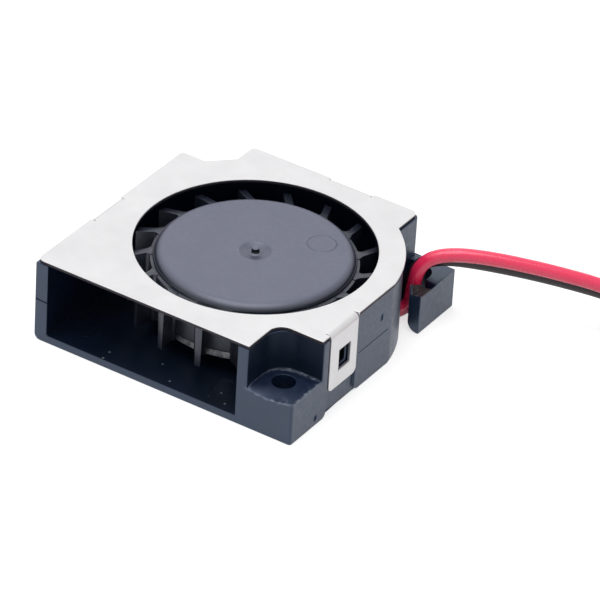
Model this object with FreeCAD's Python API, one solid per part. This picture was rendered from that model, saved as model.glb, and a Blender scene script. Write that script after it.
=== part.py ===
import FreeCAD, Part
import math
import os

# DC blower fan: a square scroll case, a sheet metal cover with a round inlet,
# a bladed rotor with its motor inside, and two lead wires. Millimetres, +Z up,
# origin under the middle of the square, outlet facing -Y.

# Case
SIDE = 35.0
HEIGHT = 10.8
SHEET = 0.45
FLOOR = 1.0
JAMB = 1.7
OUTLET_PIER = 7.5
FLANK_STEP = 0.25
FLANK_START = 7.2
SCROLL_STEP = 0.6
SCROLL_WALL = 1.7
CORNER_CUT = 5.8
FIN_ROUND = 0.8
BOTTOM_ROUND = 0.8
TONGUE_GAP = 0.8
TONGUE_ROUND = 0.6
ROUND_FLOOR_EDGE = 0.3
ROUND_FLOOR_SLOPE = 0.45
LABEL_SEAT_RADIUS = 9.6
LABEL_SEAT_DEPTH = 0.12

# Screw ears, on the front right and back left corners
EAR_HEIGHT = 5.45
EAR_HOLE_INSET = 3.4
EAR_HOLE_DIAMETER = 2.7
EAR_POCKET = 2.7
EAR_SCOOP_RADIUS = 9.1
EAR_SCOOP_DEPTH = 0.59
EAR_SCOOP_START = 1.5
EAR_SCOOP_SHIFT = -0.3

# Cover
COVER_INSET = 0.1
COVER_EAR_STEP = 0.125
COVER_SCROLL_LIP = 0.2
COVER_CORNER = 0.9
COVER_TIP_BACK = 0.2
INLET_LAP = 0.38
NOTCH_FRONT_ROUND = 1.6
NOTCH_BACK_ROUND = 0.6

# Snap tabs of the cover: name, turn of the side about Z, place along the side
TAB_RIGHT_FROM_FRONT = 10.3
TAB_BACK_AT = -2.5
TAB_LEFT_AT = 4.0
TAB_WIDTH = 5.6
TAB_END = 3.0
TAB_BEND = 0.7
TAB_ROUND = 0.7
TAB_SLIT = 0.15
WINDOW_WIDTH = 2.45
WINDOW_SHIFT = 0.25
WINDOW_LOW = 5.05
WINDOW_HIGH = 7.85
LUG_CLEARANCE = 0.2
LUG_INSET = 0.08
RECESS_CLEARANCE = 0.1
RECESS_SIDE = 0.25
RECESS_ROUND = 0.9

# Wire hook, in the back right corner
HOOK_STEP = 0.6
HOOK_THICK = 1.55
HOOK_LENGTH = 7.5
HOOK_TOP = 5.1
HOOK_BACK_THICK = 1.4
HOOK_CORNER = 1.8
HOOK_FOOT_ROUND = 1.3
HOOK_LIP = 0.45
HOOK_TIP = 6.2
HOOK_DIP = (0.45, 0.32)
SADDLE_FROM_BACK = 4.1
SADDLE_DEPTH = 1.5
SADDLE_EDGE = 0.1

# Rotor
AXIS_X = 0.6
AXIS_Y = 0.0
HUB_TOP = 10.1
HUB_SKIN = 0.7
HUB_ROUND = 0.85
HUB_DIMPLE = 1.9
HUB_DIMPLE_DEPTH = 0.12
NUB_RADIUS = 0.45
NUB_HEIGHT = 0.4
MARK_RADIUS = 1.7
MARK_FROM_EDGE = 3.75
MARK_ANGLE = 48.6
MARK_DEPTH = 0.06
SKIRT_STEP = 0.4
SKIRT_TOP = 9.05
SKIRT_END = 3.85
BLADE_COUNT = 17
BLADE_FIRST = -1.7
BLADE_REACH = 2.4
BLADE_TOP = 9.15
BLADE_END = 2.75
YOKE_END = 2.65
BLADE_THICK_TOP = 0.95
BLADE_THICK_END = 0.7
BLADE_LEAN = 4.6
BLADE_FLARE = 0.35
BLADE_FLARE_REACH = 0.5
BOSS_RADIUS = 2.4
BOSS_END = 7.7
YOKE_WALL = 0.5
YOKE_CLEARANCE = 0.05
YOKE_HOLE = 2.7
MAGNET_WALL = 1.2
MAGNET_TOP = 7.6
MAGNET_LIFT = 0.3
FIT = 0.02
AIR_GAP = 0.4

# Shaft and bearing
SHAFT_RADIUS = 0.75
SHAFT_TOP = 9.2
SHAFT_CHAMFER = 0.2
CLIP_RADIUS = 1.5
CLIP_THICK = 0.2
CLIP_AT = 1.75
CLIP_GROOVE = 0.6
CLIP_SLOT = 0.5
BEARING_RADIUS = 2.15
BEARING_FOOT = 2.05
BEARING_TOP = 6.9
BEARING_CHAMFER = 0.3
TUBE_WALL = 0.7
TUBE_TOP = 7.2
THRUST_THICK = 0.3
THRUST_SEAT = 1.2
OIL_RING_BORE = 1.0
RUNNING_FIT = 0.02

# Stator
CORE_FOOT = 4.3
CORE_TOP = 6.5
CORE_HUB = 4.3
POLES = 4
POLE_FIRST = 0.0
ARM_WIDTH = 1.8
SHOE_THICK = 0.9
SHOE_HALF_ANGLE = 36.0
LINER = 0.35
FLANGE = 0.25
WINDING = 0.75
WINDING_ROUND = 0.7
PIN_WIDTH = 0.45
PIN_CIRCLE_RADIUS = 5.0
PIN_HOLE_RADIUS = 0.35
PIN_ANGLES = (135.0, 225.0, 315.0)
PIN_BOSS_WIDTH = 1.2

# Circuit board
BOARD_GAP = 1.23
BOARD_FOOT = 1.75
BOARD_THICK = 0.6
BOARD_SEAT = 3.7
BOARD_PAD_RADIUS = 0.8
BOARD_PAD_INSET = 1.2
BOARD_PAD_ANGLES = (160.0, 280.0)
SOLDER_HEIGHT = 0.25
SOLDER_RADIUS = 0.6
CHIP_SIZE = (2.9, 1.6, 1.1)
CHIP_ANGLE = 225.0
CAPACITOR_SIZE = (2.0, 1.25, 0.9)
CAPACITOR_ANGLE = 135.0
RESISTOR_SIZE = (1.6, 0.8, 0.45)
RESISTOR_ANGLE = 315.0
PART_INSET = 1.45

# Lead wires
LEAD_RADIUS = 0.825
LEAD_PAIR = 1.72
LEAD_Z = 0.87
LEAD_ANGLE = 45.0
LEAD_START_RADIUS = 6.2
CHANNEL_CLEARANCE = 0.1
CHANNEL_INNER_RADIUS = 4.4
CHANNEL_ROOF_GAP = 0.2
CHANNEL_ROOF = 0.6
CHANNEL_WALL = 0.6
STRIP_RADIUS = 0.35
STRIP_LENGTH = 1.2

# Stored end of the leads: a small coil, a tie and a two-way connector
COIL_CENTRE = (51.5, 19.6)
COIL_RADIUS = 9.0
COIL_LIFT = 0.25
TIE_WIDTH = 2.2
TIE_THICK = 0.2
TIE_ANGLE = 200.0
PLUG_WIDTH = 7.4
PLUG_LENGTH = 9.4
PLUG_HEIGHT = 5.7
PLUG_PITCH = 2.5
PLUG_WALL = 0.9
PLUG_START_Y = 6.6
PLUG_BORE = 4.2
PLUG_NARROWING = 0.7
CONTACT_WALL = 0.2

HALF = SIDE / 2
DECK = HEIGHT - SHEET
AXIS = (AXIS_X, AXIS_Y)
OUTLET_RIGHT = HALF - OUTLET_PIER
FLANK_X = HALF - FLANK_STEP
FLANK_FRONT = FLANK_START - HALF
SCROLL_OUTER = HALF - SCROLL_STEP
FIN_X = HALF - CORNER_CUT
COVER_TIP_X = FIN_X - COVER_TIP_BACK
EAR_HOLE_AT = HALF - EAR_HOLE_INSET
TAB_SIDES = (("right", 0.0, TAB_RIGHT_FROM_FRONT - HALF), ("back", 90.0, TAB_BACK_AT),
             ("left", 180.0, TAB_LEFT_AT))
HOOK_OUT_X = HALF - HOOK_STEP
HOOK_FRONT = HALF - HOOK_LENGTH
SADDLE_END = HALF - SADDLE_FROM_BACK
TONGUE_RADIUS = SCROLL_OUTER - SCROLL_WALL
BLADE_TIP = TONGUE_RADIUS - TONGUE_GAP
SKIRT_RADIUS = BLADE_TIP - BLADE_REACH
HUB_RADIUS = SKIRT_RADIUS - SKIRT_STEP
INLET_RADIUS = BLADE_TIP - INLET_LAP
ROUND_FLOOR_RADIUS = BLADE_TIP - ROUND_FLOOR_EDGE
MARK_DISTANCE = HUB_RADIUS - MARK_FROM_EDGE
TAB_INNER = HALF - SHEET
RECESS_X = TAB_INNER - RECESS_CLEARANCE
YOKE_RADIUS = HUB_RADIUS - YOKE_CLEARANCE
COVER_SCROLL = SCROLL_OUTER + COVER_SCROLL_LIP
HUB_UNDER = HUB_TOP - HUB_SKIN
MAGNET_RADIUS = YOKE_RADIUS - YOKE_WALL - FIT
MAGNET_BORE = MAGNET_RADIUS - MAGNET_WALL
CORE_RADIUS = MAGNET_BORE - AIR_GAP
BOARD_RADIUS = MAGNET_BORE - BOARD_GAP
BOARD_PAD_CIRCLE = BOARD_RADIUS - BOARD_PAD_INSET
PART_CIRCLE = BOARD_RADIUS - PART_INSET
CHANNEL_ROOF_RADIUS = BOARD_RADIUS + CHANNEL_ROOF_GAP
TUBE_RADIUS = BEARING_RADIUS + FIT + TUBE_WALL
CORE_MIDDLE = (CORE_FOOT + CORE_TOP) / 2
BOARD_TOP = BOARD_FOOT + BOARD_THICK
SCROLL_END_RADIUS = AXIS_X + HALF - JAMB
CHANNEL_HALF = LEAD_PAIR / 2 + LEAD_RADIUS + CHANNEL_CLEARANCE
BEYOND = 1.0
NEAR = 0.01

# Centres of the wires outside the case, in the order that they are passed
RED_ROUTE = (
    (14.10, 12.28, LEAD_Z), (14.45, 12.30, 4.55), (14.90, 12.60, 7.30), (16.65, 13.65, 8.95),
    (20.60, 15.80, 9.30), (27.50, 19.85, 8.05), (34.80, 24.35, 5.85), (41.50, 27.35, 1.70),
    (48.00, 27.60, 1.08),
)
BLACK_ROUTE = (
    (12.88, 13.50, LEAD_Z), (13.05, 13.80, 4.10), (13.80, 14.50, 6.15), (15.95, 15.20, 7.45),
    (20.10, 16.62, 7.82), (27.00, 20.70, 6.55), (34.20, 25.35, 4.25), (40.90, 29.15, 1.20),
    (48.00, 29.40, 1.08),
)


def point(x, y, z=0.0):
    """Point from its three coordinates."""
    return FreeCAD.Vector(x, y, z)


def polar(radius, angle, z=0.0, centre=AXIS):
    """Point at a radius and an angle in degrees about an upright axis."""
    turn = math.radians(angle)
    return point(centre[0] + radius * math.cos(turn), centre[1] + radius * math.sin(turn), z)


def block(x, y, z):
    """Box between the pairs of limits along X, Y and Z."""
    return Part.makeBox(x[1] - x[0], y[1] - y[0], z[1] - z[0], point(x[0], y[0], z[0]))


def disc(radius, low, high, centre=AXIS):
    """Upright cylinder between two heights."""
    return Part.makeCylinder(radius, high - low, point(centre[0], centre[1], low))


def ring(outer, inner, low, high, centre=AXIS):
    """Upright tube between two heights."""
    return disc(outer, low, high, centre).cut(disc(inner, low, high, centre))


def path_edges(start, steps):
    """Edges from start through the steps: an end point, or a middle and an end point for an arc."""
    edges = []
    here = start
    for step in steps:
        if isinstance(step, tuple):
            edges.append(Part.Arc(here, step[0], step[1]).toShape())
            here = step[1]
        else:
            edges.append(Part.LineSegment(here, step).toShape())
            here = step
    return edges


def flat_face(start, steps):
    """Face inside a closed path."""
    return Part.Face(Part.Wire(path_edges(start, steps)))


def prism(start, steps, low, high):
    """Upright solid over a closed plan drawn at height zero."""
    face = flat_face(start, steps)
    face.translate(point(0, 0, low))
    return face.extrude(point(0, 0, high - low))


def turned(shape, angle, centre=AXIS):
    """Copy of a shape turned about an upright axis."""
    copy = shape.copy()
    copy.rotate(point(centre[0], centre[1]), point(0, 0, 1), angle)
    return copy


def spun(start, steps):
    """Solid of revolution about the rotor axis, from a profile in the plane of X and Z."""
    face = flat_face(start, steps)
    face.translate(point(AXIS_X, AXIS_Y))
    return face.revolve(point(AXIS_X, AXIS_Y), point(0, 0, 1), 360)


def upright_edges(shape, x, y, reach=0.05):
    """Upright edges of a shape that stand at a place in plan."""
    found = []
    for edge in shape.Edges:
        ends = [vertex.Point for vertex in edge.Vertexes]
        if len(ends) == 2 and abs(ends[0].z - ends[1].z) > reach:
            if all(math.hypot(end.x - x, end.y - y) < reach for end in ends):
                found.append(edge)
    return found


def on_side(shape, angle, along):
    """Copy of a shape made for the +X side, moved along it and turned to another side."""
    copy = shape.copy()
    copy.translate(point(0, along))
    copy.rotate(point(0, 0), point(0, 0, 1), angle)
    return copy


def case_block():
    """Outer form of the case: square, round over the scroll at the back right."""
    flank_back = math.sqrt(SCROLL_OUTER ** 2 - (FLANK_X - AXIS_X) ** 2)
    fin_front = math.sqrt(SCROLL_OUTER ** 2 - (FIN_X - AXIS_X) ** 2)
    middle = math.degrees(math.atan2(flank_back, FLANK_X - AXIS_X)
                          + math.atan2(fin_front, FIN_X - AXIS_X)) / 2
    steps = [point(HALF, -HALF), point(HALF, FLANK_FRONT), point(FLANK_X, FLANK_FRONT),
             point(FLANK_X, flank_back), (polar(SCROLL_OUTER, middle), point(FIN_X, fin_front)),
             point(FIN_X, HALF), point(-HALF, HALF), point(-HALF, -HALF)]
    solid = prism(point(-HALF, -HALF), steps, 0, DECK)
    solid = solid.makeFillet(FIN_ROUND, upright_edges(solid, FIN_X, HALF))
    bottom_left = [edge for edge in solid.Edges
                   if edge.BoundBox.XMax < -HALF + NEAR and edge.BoundBox.ZMax < NEAR]
    return solid.makeFillet(BOTTOM_ROUND, bottom_left)


def scroll_cavity():
    """Air space: a spiral that widens from the tongue to the left wall, then the outlet duct."""
    tongue_angle = -math.degrees(math.acos((OUTLET_RIGHT - AXIS_X) / TONGUE_RADIUS))
    stations = 13
    spiral = []
    for index in range(stations + 1):
        share = index / stations
        angle = tongue_angle + share * (180 - tongue_angle)
        spiral.append(polar(TONGUE_RADIUS + share * (SCROLL_END_RADIUS - TONGUE_RADIUS), angle))
    curve = Part.BSplineCurve()
    curve.interpolate(spiral)
    front = -HALF - BEYOND
    duct = path_edges(spiral[-1], [point(spiral[-1].x, front), point(OUTLET_RIGHT, front), spiral[0]])
    face = Part.Face(Part.Wire([curve.toShape()] + duct))
    face.translate(point(0, 0, FLOOR))
    solid = face.extrude(point(0, 0, DECK + BEYOND - FLOOR))
    return solid.makeFillet(TONGUE_ROUND, upright_edges(solid, spiral[0].x, spiral[0].y))


def ear_pocket(low, high, round_off, back_edge=0.0):
    """Space over the front right ear, open to the front and the right."""
    left = EAR_HOLE_AT - EAR_POCKET
    back = -EAR_HOLE_AT + EAR_POCKET - back_edge
    out = HALF + BEYOND
    centre = (left + round_off, back - round_off)
    steps = [point(out, -out), point(out, back), point(centre[0], back),
             (polar(round_off, 135, 0, centre), point(left, centre[1])), point(left, -out)]
    return prism(point(left, -out), steps, low, high)


def ear_scoop():
    """Shallow hollow in the front ear that falls from near its screw hole to the front face."""
    run = HALF - EAR_HOLE_AT - EAR_SCOOP_START
    slope = math.atan2(EAR_SCOOP_DEPTH, run)
    along = point(0, -math.cos(slope), -math.sin(slope))
    lift = point(0, -math.sin(slope), math.cos(slope)) * EAR_SCOOP_RADIUS
    start = point(EAR_HOLE_AT + EAR_SCOOP_SHIFT, -EAR_HOLE_AT - EAR_SCOOP_START, EAR_HEIGHT)
    trough = Part.makeCylinder(EAR_SCOOP_RADIUS, run + 3 * BEYOND, start + lift - along * BEYOND, along)
    low = EAR_HEIGHT - EAR_SCOOP_DEPTH - BEYOND
    return trough.common(ear_pocket(low, EAR_HEIGHT + BEYOND, EAR_POCKET))


def screw_ears(case):
    """Cut both ears down to their height and drill their screw holes."""
    pocket = ear_pocket(EAR_HEIGHT, DECK + BEYOND, EAR_POCKET)
    hole_centre = (EAR_HOLE_AT, -EAR_HOLE_AT)
    hole = disc(EAR_HOLE_DIAMETER / 2, -BEYOND, EAR_HEIGHT + BEYOND, hole_centre)
    for angle in (0, 180):
        for tool in (pocket, hole, ear_scoop()):
            case = case.cut(turned(tool, angle, (0, 0)))
    return case


def tab_recess():
    """Space in a case wall for one tab of the cover, flared at its foot, with the top edge eased."""
    half = TAB_WIDTH / 2 + RECESS_SIDE
    foot = half + RECESS_ROUND
    arc_in = half + RECESS_ROUND * (1 - math.sqrt(0.5))
    arc_up = RECESS_ROUND * (1 - math.sqrt(0.5))
    top = DECK + BEYOND
    steps = [point(RECESS_X, -half, RECESS_ROUND),
             (point(RECESS_X, -arc_in, arc_up), point(RECESS_X, -foot, 0)), point(RECESS_X, -foot, -BEYOND),
             point(RECESS_X, foot, -BEYOND), point(RECESS_X, foot, 0),
             (point(RECESS_X, arc_in, arc_up), point(RECESS_X, half, RECESS_ROUND)),
             point(RECESS_X, half, top), point(RECESS_X, -half, top)]
    slot = flat_face(point(RECESS_X, -half, top), steps).extrude(point(HALF + BEYOND - RECESS_X, 0, 0))
    ease = flat_face(point(RECESS_X - TAB_BEND / 2, -half, DECK),
                     [point(RECESS_X, -half, DECK - TAB_BEND / 2), point(RECESS_X, -half, DECK),
                      point(RECESS_X - TAB_BEND / 2, -half, DECK)])
    return slot.fuse(ease.extrude(point(0, 2 * half, 0)))


def tab_lug():
    """Wedge on the case wall that the window of a tab snaps over."""
    half = WINDOW_WIDTH / 2 - LUG_CLEARANCE
    low = WINDOW_LOW + LUG_CLEARANCE
    high = WINDOW_HIGH - LUG_CLEARANCE
    root = RECESS_X - LUG_CLEARANCE
    profile = flat_face(point(root, -half, low),
                        [point(HALF - LUG_INSET, -half, low), point(RECESS_X, -half, high),
                         point(root, -half, high), point(root, -half, low)])
    lug = profile.extrude(point(0, 2 * half, 0))
    lug.translate(point(0, WINDOW_SHIFT))
    return lug


def wire_hook():
    """Corner bracket behind the scroll: the leads come up inside it and bend over its saddle."""
    inner_x = HOOK_OUT_X - HOOK_THICK
    inner_y = HALF - HOOK_BACK_THICK
    corner = (inner_x - HOOK_CORNER, inner_y - HOOK_CORNER)
    arm = block((inner_x, HOOK_OUT_X), (HOOK_FRONT, SADDLE_END), (0, HOOK_TOP))
    foot = [edge for edge in arm.Edges
            if edge.BoundBox.ZMax < NEAR and edge.BoundBox.XMax < inner_x + NEAR]
    arm = arm.makeFillet(HOOK_FOOT_ROUND, foot)
    steps = [point(HOOK_OUT_X, SADDLE_END), point(HOOK_OUT_X, HALF), point(FIN_X - BEYOND, HALF),
             point(FIN_X - BEYOND, inner_y), point(corner[0], inner_y),
             (polar(HOOK_CORNER, 45, 0, corner), point(inner_x, corner[1])), point(inner_x, SADDLE_END)]
    bracket = arm.fuse(prism(point(inner_x, SADDLE_END), steps, 0, HOOK_TOP))
    saddle_front = HOOK_FRONT + HOOK_LIP
    saddle_low = HOOK_TOP - SADDLE_DEPTH
    saddle_high = HOOK_TOP - SADDLE_EDGE
    above = HOOK_TOP + 2 * BEYOND
    saddle = flat_face(point(HOOK_OUT_X + BEYOND, saddle_front, above),
                       [point(inner_x - BEYOND, saddle_front, above),
                        point(inner_x - BEYOND, saddle_front, saddle_low),
                        point(inner_x, saddle_front, saddle_low), point(HOOK_OUT_X, saddle_front, saddle_high),
                        point(HOOK_OUT_X + BEYOND, saddle_front, saddle_high),
                        point(HOOK_OUT_X + BEYOND, saddle_front, above)])
    bracket = bracket.cut(saddle.extrude(point(0, SADDLE_END - saddle_front, 0)))
    tip_x = HOOK_OUT_X - HOOK_THICK / 3
    dip = point(inner_x + HOOK_DIP[0], HOOK_FRONT, HOOK_TOP + HOOK_DIP[1])
    tip = flat_face(point(inner_x, HOOK_FRONT, saddle_low),
                    [point(tip_x, HOOK_FRONT, saddle_low), point(tip_x, HOOK_FRONT, HOOK_TOP),
                     (dip, point(inner_x, HOOK_FRONT, HOOK_TIP)), point(inner_x, HOOK_FRONT, saddle_low)])
    return bracket.fuse(tip.extrude(point(0, HOOK_LIP, 0)))


def lead_channel():
    """Space for the two leads, along +X from the rotor axis, under the board and out of the scroll."""
    x_start = AXIS_X + CHANNEL_INNER_RADIUS
    x_end = AXIS_X + SCROLL_OUTER + BEYOND
    return block((x_start, x_end), (-CHANNEL_HALF, CHANNEL_HALF), (-BEYOND, BOARD_FOOT))


def channel_roof():
    """Ridge on the floor that covers the lead channel outside the board."""
    half = CHANNEL_HALF + CHANNEL_WALL
    x_limits = (AXIS_X + CHANNEL_ROOF_RADIUS, AXIS_X + SCROLL_OUTER - CHANNEL_WALL)
    return block(x_limits, (-half, half), (FLOOR - CHANNEL_WALL, BOARD_FOOT + CHANNEL_ROOF))


def round_floor():
    """Raised round part of the floor under the rotor, with a sloped edge; the thrust pad sits on it."""
    return Part.makeCone(ROUND_FLOOR_RADIUS, ROUND_FLOOR_RADIUS - ROUND_FLOOR_SLOPE, THRUST_SEAT - FLOOR,
                         point(AXIS_X, AXIS_Y, FLOOR))


def housing():
    """Case moulding with its ears, lugs, wire hook, bearing tube, label seat and lead channel."""
    case = case_block().cut(scroll_cavity())
    case = screw_ears(case)
    case = case.cut(disc(LABEL_SEAT_RADIUS, -BEYOND, LABEL_SEAT_DEPTH))
    for _, angle, along in TAB_SIDES:
        case = case.cut(on_side(tab_recess(), angle, along))
        case = case.fuse(on_side(tab_lug(), angle, along))
    inside = [ring(TUBE_RADIUS, BEARING_RADIUS + FIT, THRUST_SEAT, TUBE_TOP),
              ring(BOARD_SEAT, TUBE_RADIUS, FLOOR, BOARD_FOOT), round_floor()]
    for angle in BOARD_PAD_ANGLES:
        spot = polar(BOARD_PAD_CIRCLE, angle)
        inside.append(disc(BOARD_PAD_RADIUS, FLOOR, BOARD_FOOT, (spot.x, spot.y)))
    inside.append(turned(channel_roof(), LEAD_ANGLE))
    inside.append(wire_hook())
    case = case.fuse(inside)
    return case.cut(turned(lead_channel(), LEAD_ANGLE)).removeSplitter()


def cover_outline():
    """Flat plate of the cover before its tabs: the case's plan, cut back round both ears."""
    edge = HALF - COVER_INSET
    flank_back = math.sqrt(COVER_SCROLL ** 2 - (edge - AXIS_X) ** 2)
    tip_front = math.sqrt(COVER_SCROLL ** 2 - (COVER_TIP_X - AXIS_X) ** 2)
    middle = math.degrees(math.atan2(flank_back, edge - AXIS_X)
                          + math.atan2(tip_front, COVER_TIP_X - AXIS_X)) / 2
    steps = [point(edge, -edge), point(edge, flank_back),
             (polar(COVER_SCROLL, middle), point(COVER_TIP_X, tip_front)),
             point(COVER_TIP_X, edge), point(-edge, edge), point(-edge, -edge)]
    plate = prism(point(-edge, -edge), steps, DECK, HEIGHT)
    behind_ear = COVER_INSET + COVER_EAR_STEP
    plate = plate.cut(ear_pocket(DECK - BEYOND, HEIGHT + BEYOND, NOTCH_FRONT_ROUND, behind_ear))
    inner = EAR_HOLE_AT - EAR_POCKET
    out = HALF + BEYOND
    notch = [point(-inner, EAR_HOLE_AT), point(-EAR_HOLE_AT, inner), point(-out, inner), point(-out, out),
             point(-inner, out)]
    plate = plate.cut(prism(point(-inner, out), notch, DECK - BEYOND, HEIGHT + BEYOND))
    corners = upright_edges(plate, -edge, -edge) + upright_edges(plate, COVER_TIP_X, edge)
    plate = plate.makeFillet(COVER_CORNER, corners)
    notch_corners = []
    for x, y in ((edge, inner), (inner, edge), (EAR_HOLE_AT, inner), (inner, EAR_HOLE_AT)):
        notch_corners += upright_edges(plate, -x, y)
    return plate.makeFillet(NOTCH_BACK_ROUND, notch_corners)


def cover_tab():
    """One tab for the +X side: bent down over the edge, with a window for its lug."""
    half = TAB_WIDTH / 2
    bend_x = HALF - TAB_BEND
    bend_z = HEIGHT - TAB_BEND
    outer = point(bend_x + TAB_BEND * math.sqrt(0.5), -half, bend_z + TAB_BEND * math.sqrt(0.5))
    inner_bend = TAB_BEND - SHEET
    inner = point(bend_x + inner_bend * math.sqrt(0.5), -half, bend_z + inner_bend * math.sqrt(0.5))
    profile = flat_face(point(bend_x, -half, HEIGHT),
                        [(outer, point(HALF, -half, bend_z)), point(HALF, -half, TAB_END),
                         point(TAB_INNER, -half, TAB_END), point(TAB_INNER, -half, bend_z),
                         (inner, point(bend_x, -half, DECK)), point(bend_x, -half, HEIGHT)])
    tab = profile.extrude(point(0, TAB_WIDTH, 0))
    ends = [edge for edge in tab.Edges
            if edge.BoundBox.ZMax < TAB_END + NEAR and edge.BoundBox.XLength > SHEET / 2]
    tab = tab.makeFillet(TAB_ROUND, ends)
    window = block((TAB_INNER - BEYOND, HALF + BEYOND), (-WINDOW_WIDTH / 2, WINDOW_WIDTH / 2),
                   (WINDOW_LOW, WINDOW_HIGH))
    window.translate(point(0, WINDOW_SHIFT))
    return tab.cut(window)


def cover_plate():
    """Sheet metal cover: plate, inlet hole and three snap tabs."""
    plate = cover_outline().cut(disc(INLET_RADIUS, DECK - BEYOND, HEIGHT + BEYOND))
    half = TAB_WIDTH / 2 + TAB_SLIT
    slit = block((HALF - TAB_BEND, HALF + BEYOND), (-half, half), (DECK - BEYOND, HEIGHT + BEYOND))
    for _, angle, along in TAB_SIDES:
        plate = plate.cut(on_side(slit, angle, along))
        plate = plate.fuse(on_side(cover_tab(), angle, along))
    return plate.removeSplitter()


def hub():
    """Plastic hub: flat cap with a rounded rim, stepped skirt, centre boss, dimple and nub."""
    rim = HUB_RADIUS - HUB_ROUND
    shoulder = point(rim + HUB_ROUND * math.sqrt(0.5), 0, HUB_TOP - HUB_ROUND * (1 - math.sqrt(0.5)))
    dimple_floor = HUB_TOP - HUB_DIMPLE_DEPTH
    steps = [point(HUB_DIMPLE - HUB_DIMPLE_DEPTH, 0, dimple_floor), point(HUB_DIMPLE, 0, HUB_TOP),
             point(rim, 0, HUB_TOP), (shoulder, point(HUB_RADIUS, 0, HUB_TOP - HUB_ROUND)),
             point(HUB_RADIUS, 0, SKIRT_TOP), point(SKIRT_RADIUS, 0, SKIRT_TOP),
             point(SKIRT_RADIUS, 0, SKIRT_END), point(YOKE_RADIUS + FIT, 0, SKIRT_END),
             point(YOKE_RADIUS + FIT, 0, HUB_UNDER), point(BOSS_RADIUS, 0, HUB_UNDER),
             point(BOSS_RADIUS, 0, BOSS_END), point(0, 0, BOSS_END), point(0, 0, dimple_floor)]
    solid = spun(point(0, 0, dimple_floor), steps)
    solid = solid.fuse(disc(NUB_RADIUS, dimple_floor, HUB_TOP + NUB_HEIGHT))
    solid = solid.cut(disc(SHAFT_RADIUS, BOSS_END - BEYOND, SHAFT_TOP))
    mark = polar(MARK_DISTANCE, MARK_ANGLE)
    return solid.cut(disc(MARK_RADIUS, HUB_TOP - MARK_DEPTH, HUB_TOP + BEYOND, (mark.x, mark.y)))


def blade_point(radius, offset, z):
    """Point on a blade's side: offset along the turning direction from its leaning middle line."""
    middle = BLADE_LEAN * (radius - SKIRT_RADIUS) / BLADE_REACH
    return polar(radius, middle + math.degrees(offset / radius), z)


def blade_section(thickness, z):
    """Closed outline of a blade at one height, flared where it grows out of the skirt."""
    half = thickness / 2
    wide = half + BLADE_FLARE
    root = (SKIRT_RADIUS + YOKE_RADIUS) / 2
    neck = SKIRT_RADIUS + BLADE_FLARE_REACH
    steps = [blade_point(SKIRT_RADIUS, -wide, z), blade_point(neck, -half, z),
             blade_point(BLADE_TIP, -half, z), blade_point(BLADE_TIP, half, z),
             blade_point(neck, half, z), blade_point(SKIRT_RADIUS, wide, z),
             blade_point(root, wide, z), blade_point(root, -wide, z)]
    return Part.Wire(path_edges(blade_point(root, -wide, z), steps))


def blade():
    """One forward-curved blade, thinner at its lower end."""
    sections = [blade_section(BLADE_THICK_END, BLADE_END), blade_section(BLADE_THICK_TOP, BLADE_TOP)]
    body = Part.makeLoft(sections, True, True)
    return body.cut(disc(YOKE_RADIUS + FIT, BLADE_END - BEYOND, BLADE_TOP + BEYOND))


def impeller():
    """Hub with its ring of blades."""
    one = turned(blade(), BLADE_FIRST)
    blades = [turned(one, 360.0 * index / BLADE_COUNT) for index in range(BLADE_COUNT)]
    return hub().fuse(blades)


def rotor_yoke():
    """Drawn steel cup inside the skirt, open round the boss."""
    cup = disc(YOKE_RADIUS, YOKE_END, HUB_UNDER)
    cup = cup.cut(disc(YOKE_RADIUS - YOKE_WALL, YOKE_END - BEYOND, HUB_UNDER - YOKE_WALL))
    return cup.cut(disc(YOKE_HOLE, YOKE_END, HUB_UNDER + BEYOND))


def rotor_magnet():
    """Bonded magnet ring on the inside of the cup."""
    return ring(MAGNET_RADIUS, MAGNET_BORE, YOKE_END + MAGNET_LIFT, MAGNET_TOP)


def shaft():
    """Steel shaft with a chamfered foot and a groove for its clip."""
    foot = THRUST_SEAT + THRUST_THICK + RUNNING_FIT
    body = disc(SHAFT_RADIUS, foot, SHAFT_TOP)
    low_rim = [edge for edge in body.Edges if edge.BoundBox.ZMax < foot + NEAR]
    body = body.makeChamfer(SHAFT_CHAMFER, low_rim)
    return body.cut(ring(SHAFT_RADIUS + FIT, CLIP_GROOVE, CLIP_AT - FIT, CLIP_AT + CLIP_THICK + FIT))


def retaining_clip():
    """Split washer in the shaft's groove, under the bearing."""
    washer = ring(CLIP_RADIUS, CLIP_GROOVE + FIT, CLIP_AT, CLIP_AT + CLIP_THICK)
    slot = block((AXIS_X, AXIS_X + CLIP_RADIUS + BEYOND), (-CLIP_SLOT / 2, CLIP_SLOT / 2),
                 (CLIP_AT - BEYOND, CLIP_AT + BEYOND))
    return washer.cut(slot)


def sleeve_bearing():
    """Oil-soaked sintered sleeve, chamfered at both ends."""
    sleeve = disc(BEARING_RADIUS, BEARING_FOOT, BEARING_TOP)
    rims = [edge for edge in sleeve.Edges if edge.BoundBox.ZLength < NEAR]
    sleeve = sleeve.makeChamfer(BEARING_CHAMFER, rims)
    return sleeve.cut(disc(SHAFT_RADIUS + RUNNING_FIT, BEARING_FOOT - BEYOND, BEARING_TOP + BEYOND))


def thrust_pad():
    """Low-friction pad that the shaft's foot turns on."""
    return disc(BEARING_RADIUS, THRUST_SEAT, THRUST_SEAT + THRUST_THICK)


def oil_ring():
    """Washer that keeps the oil in the top of the bearing tube."""
    return ring(BEARING_RADIUS, OIL_RING_BORE, BEARING_TOP + FIT, TUBE_TOP)


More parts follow.
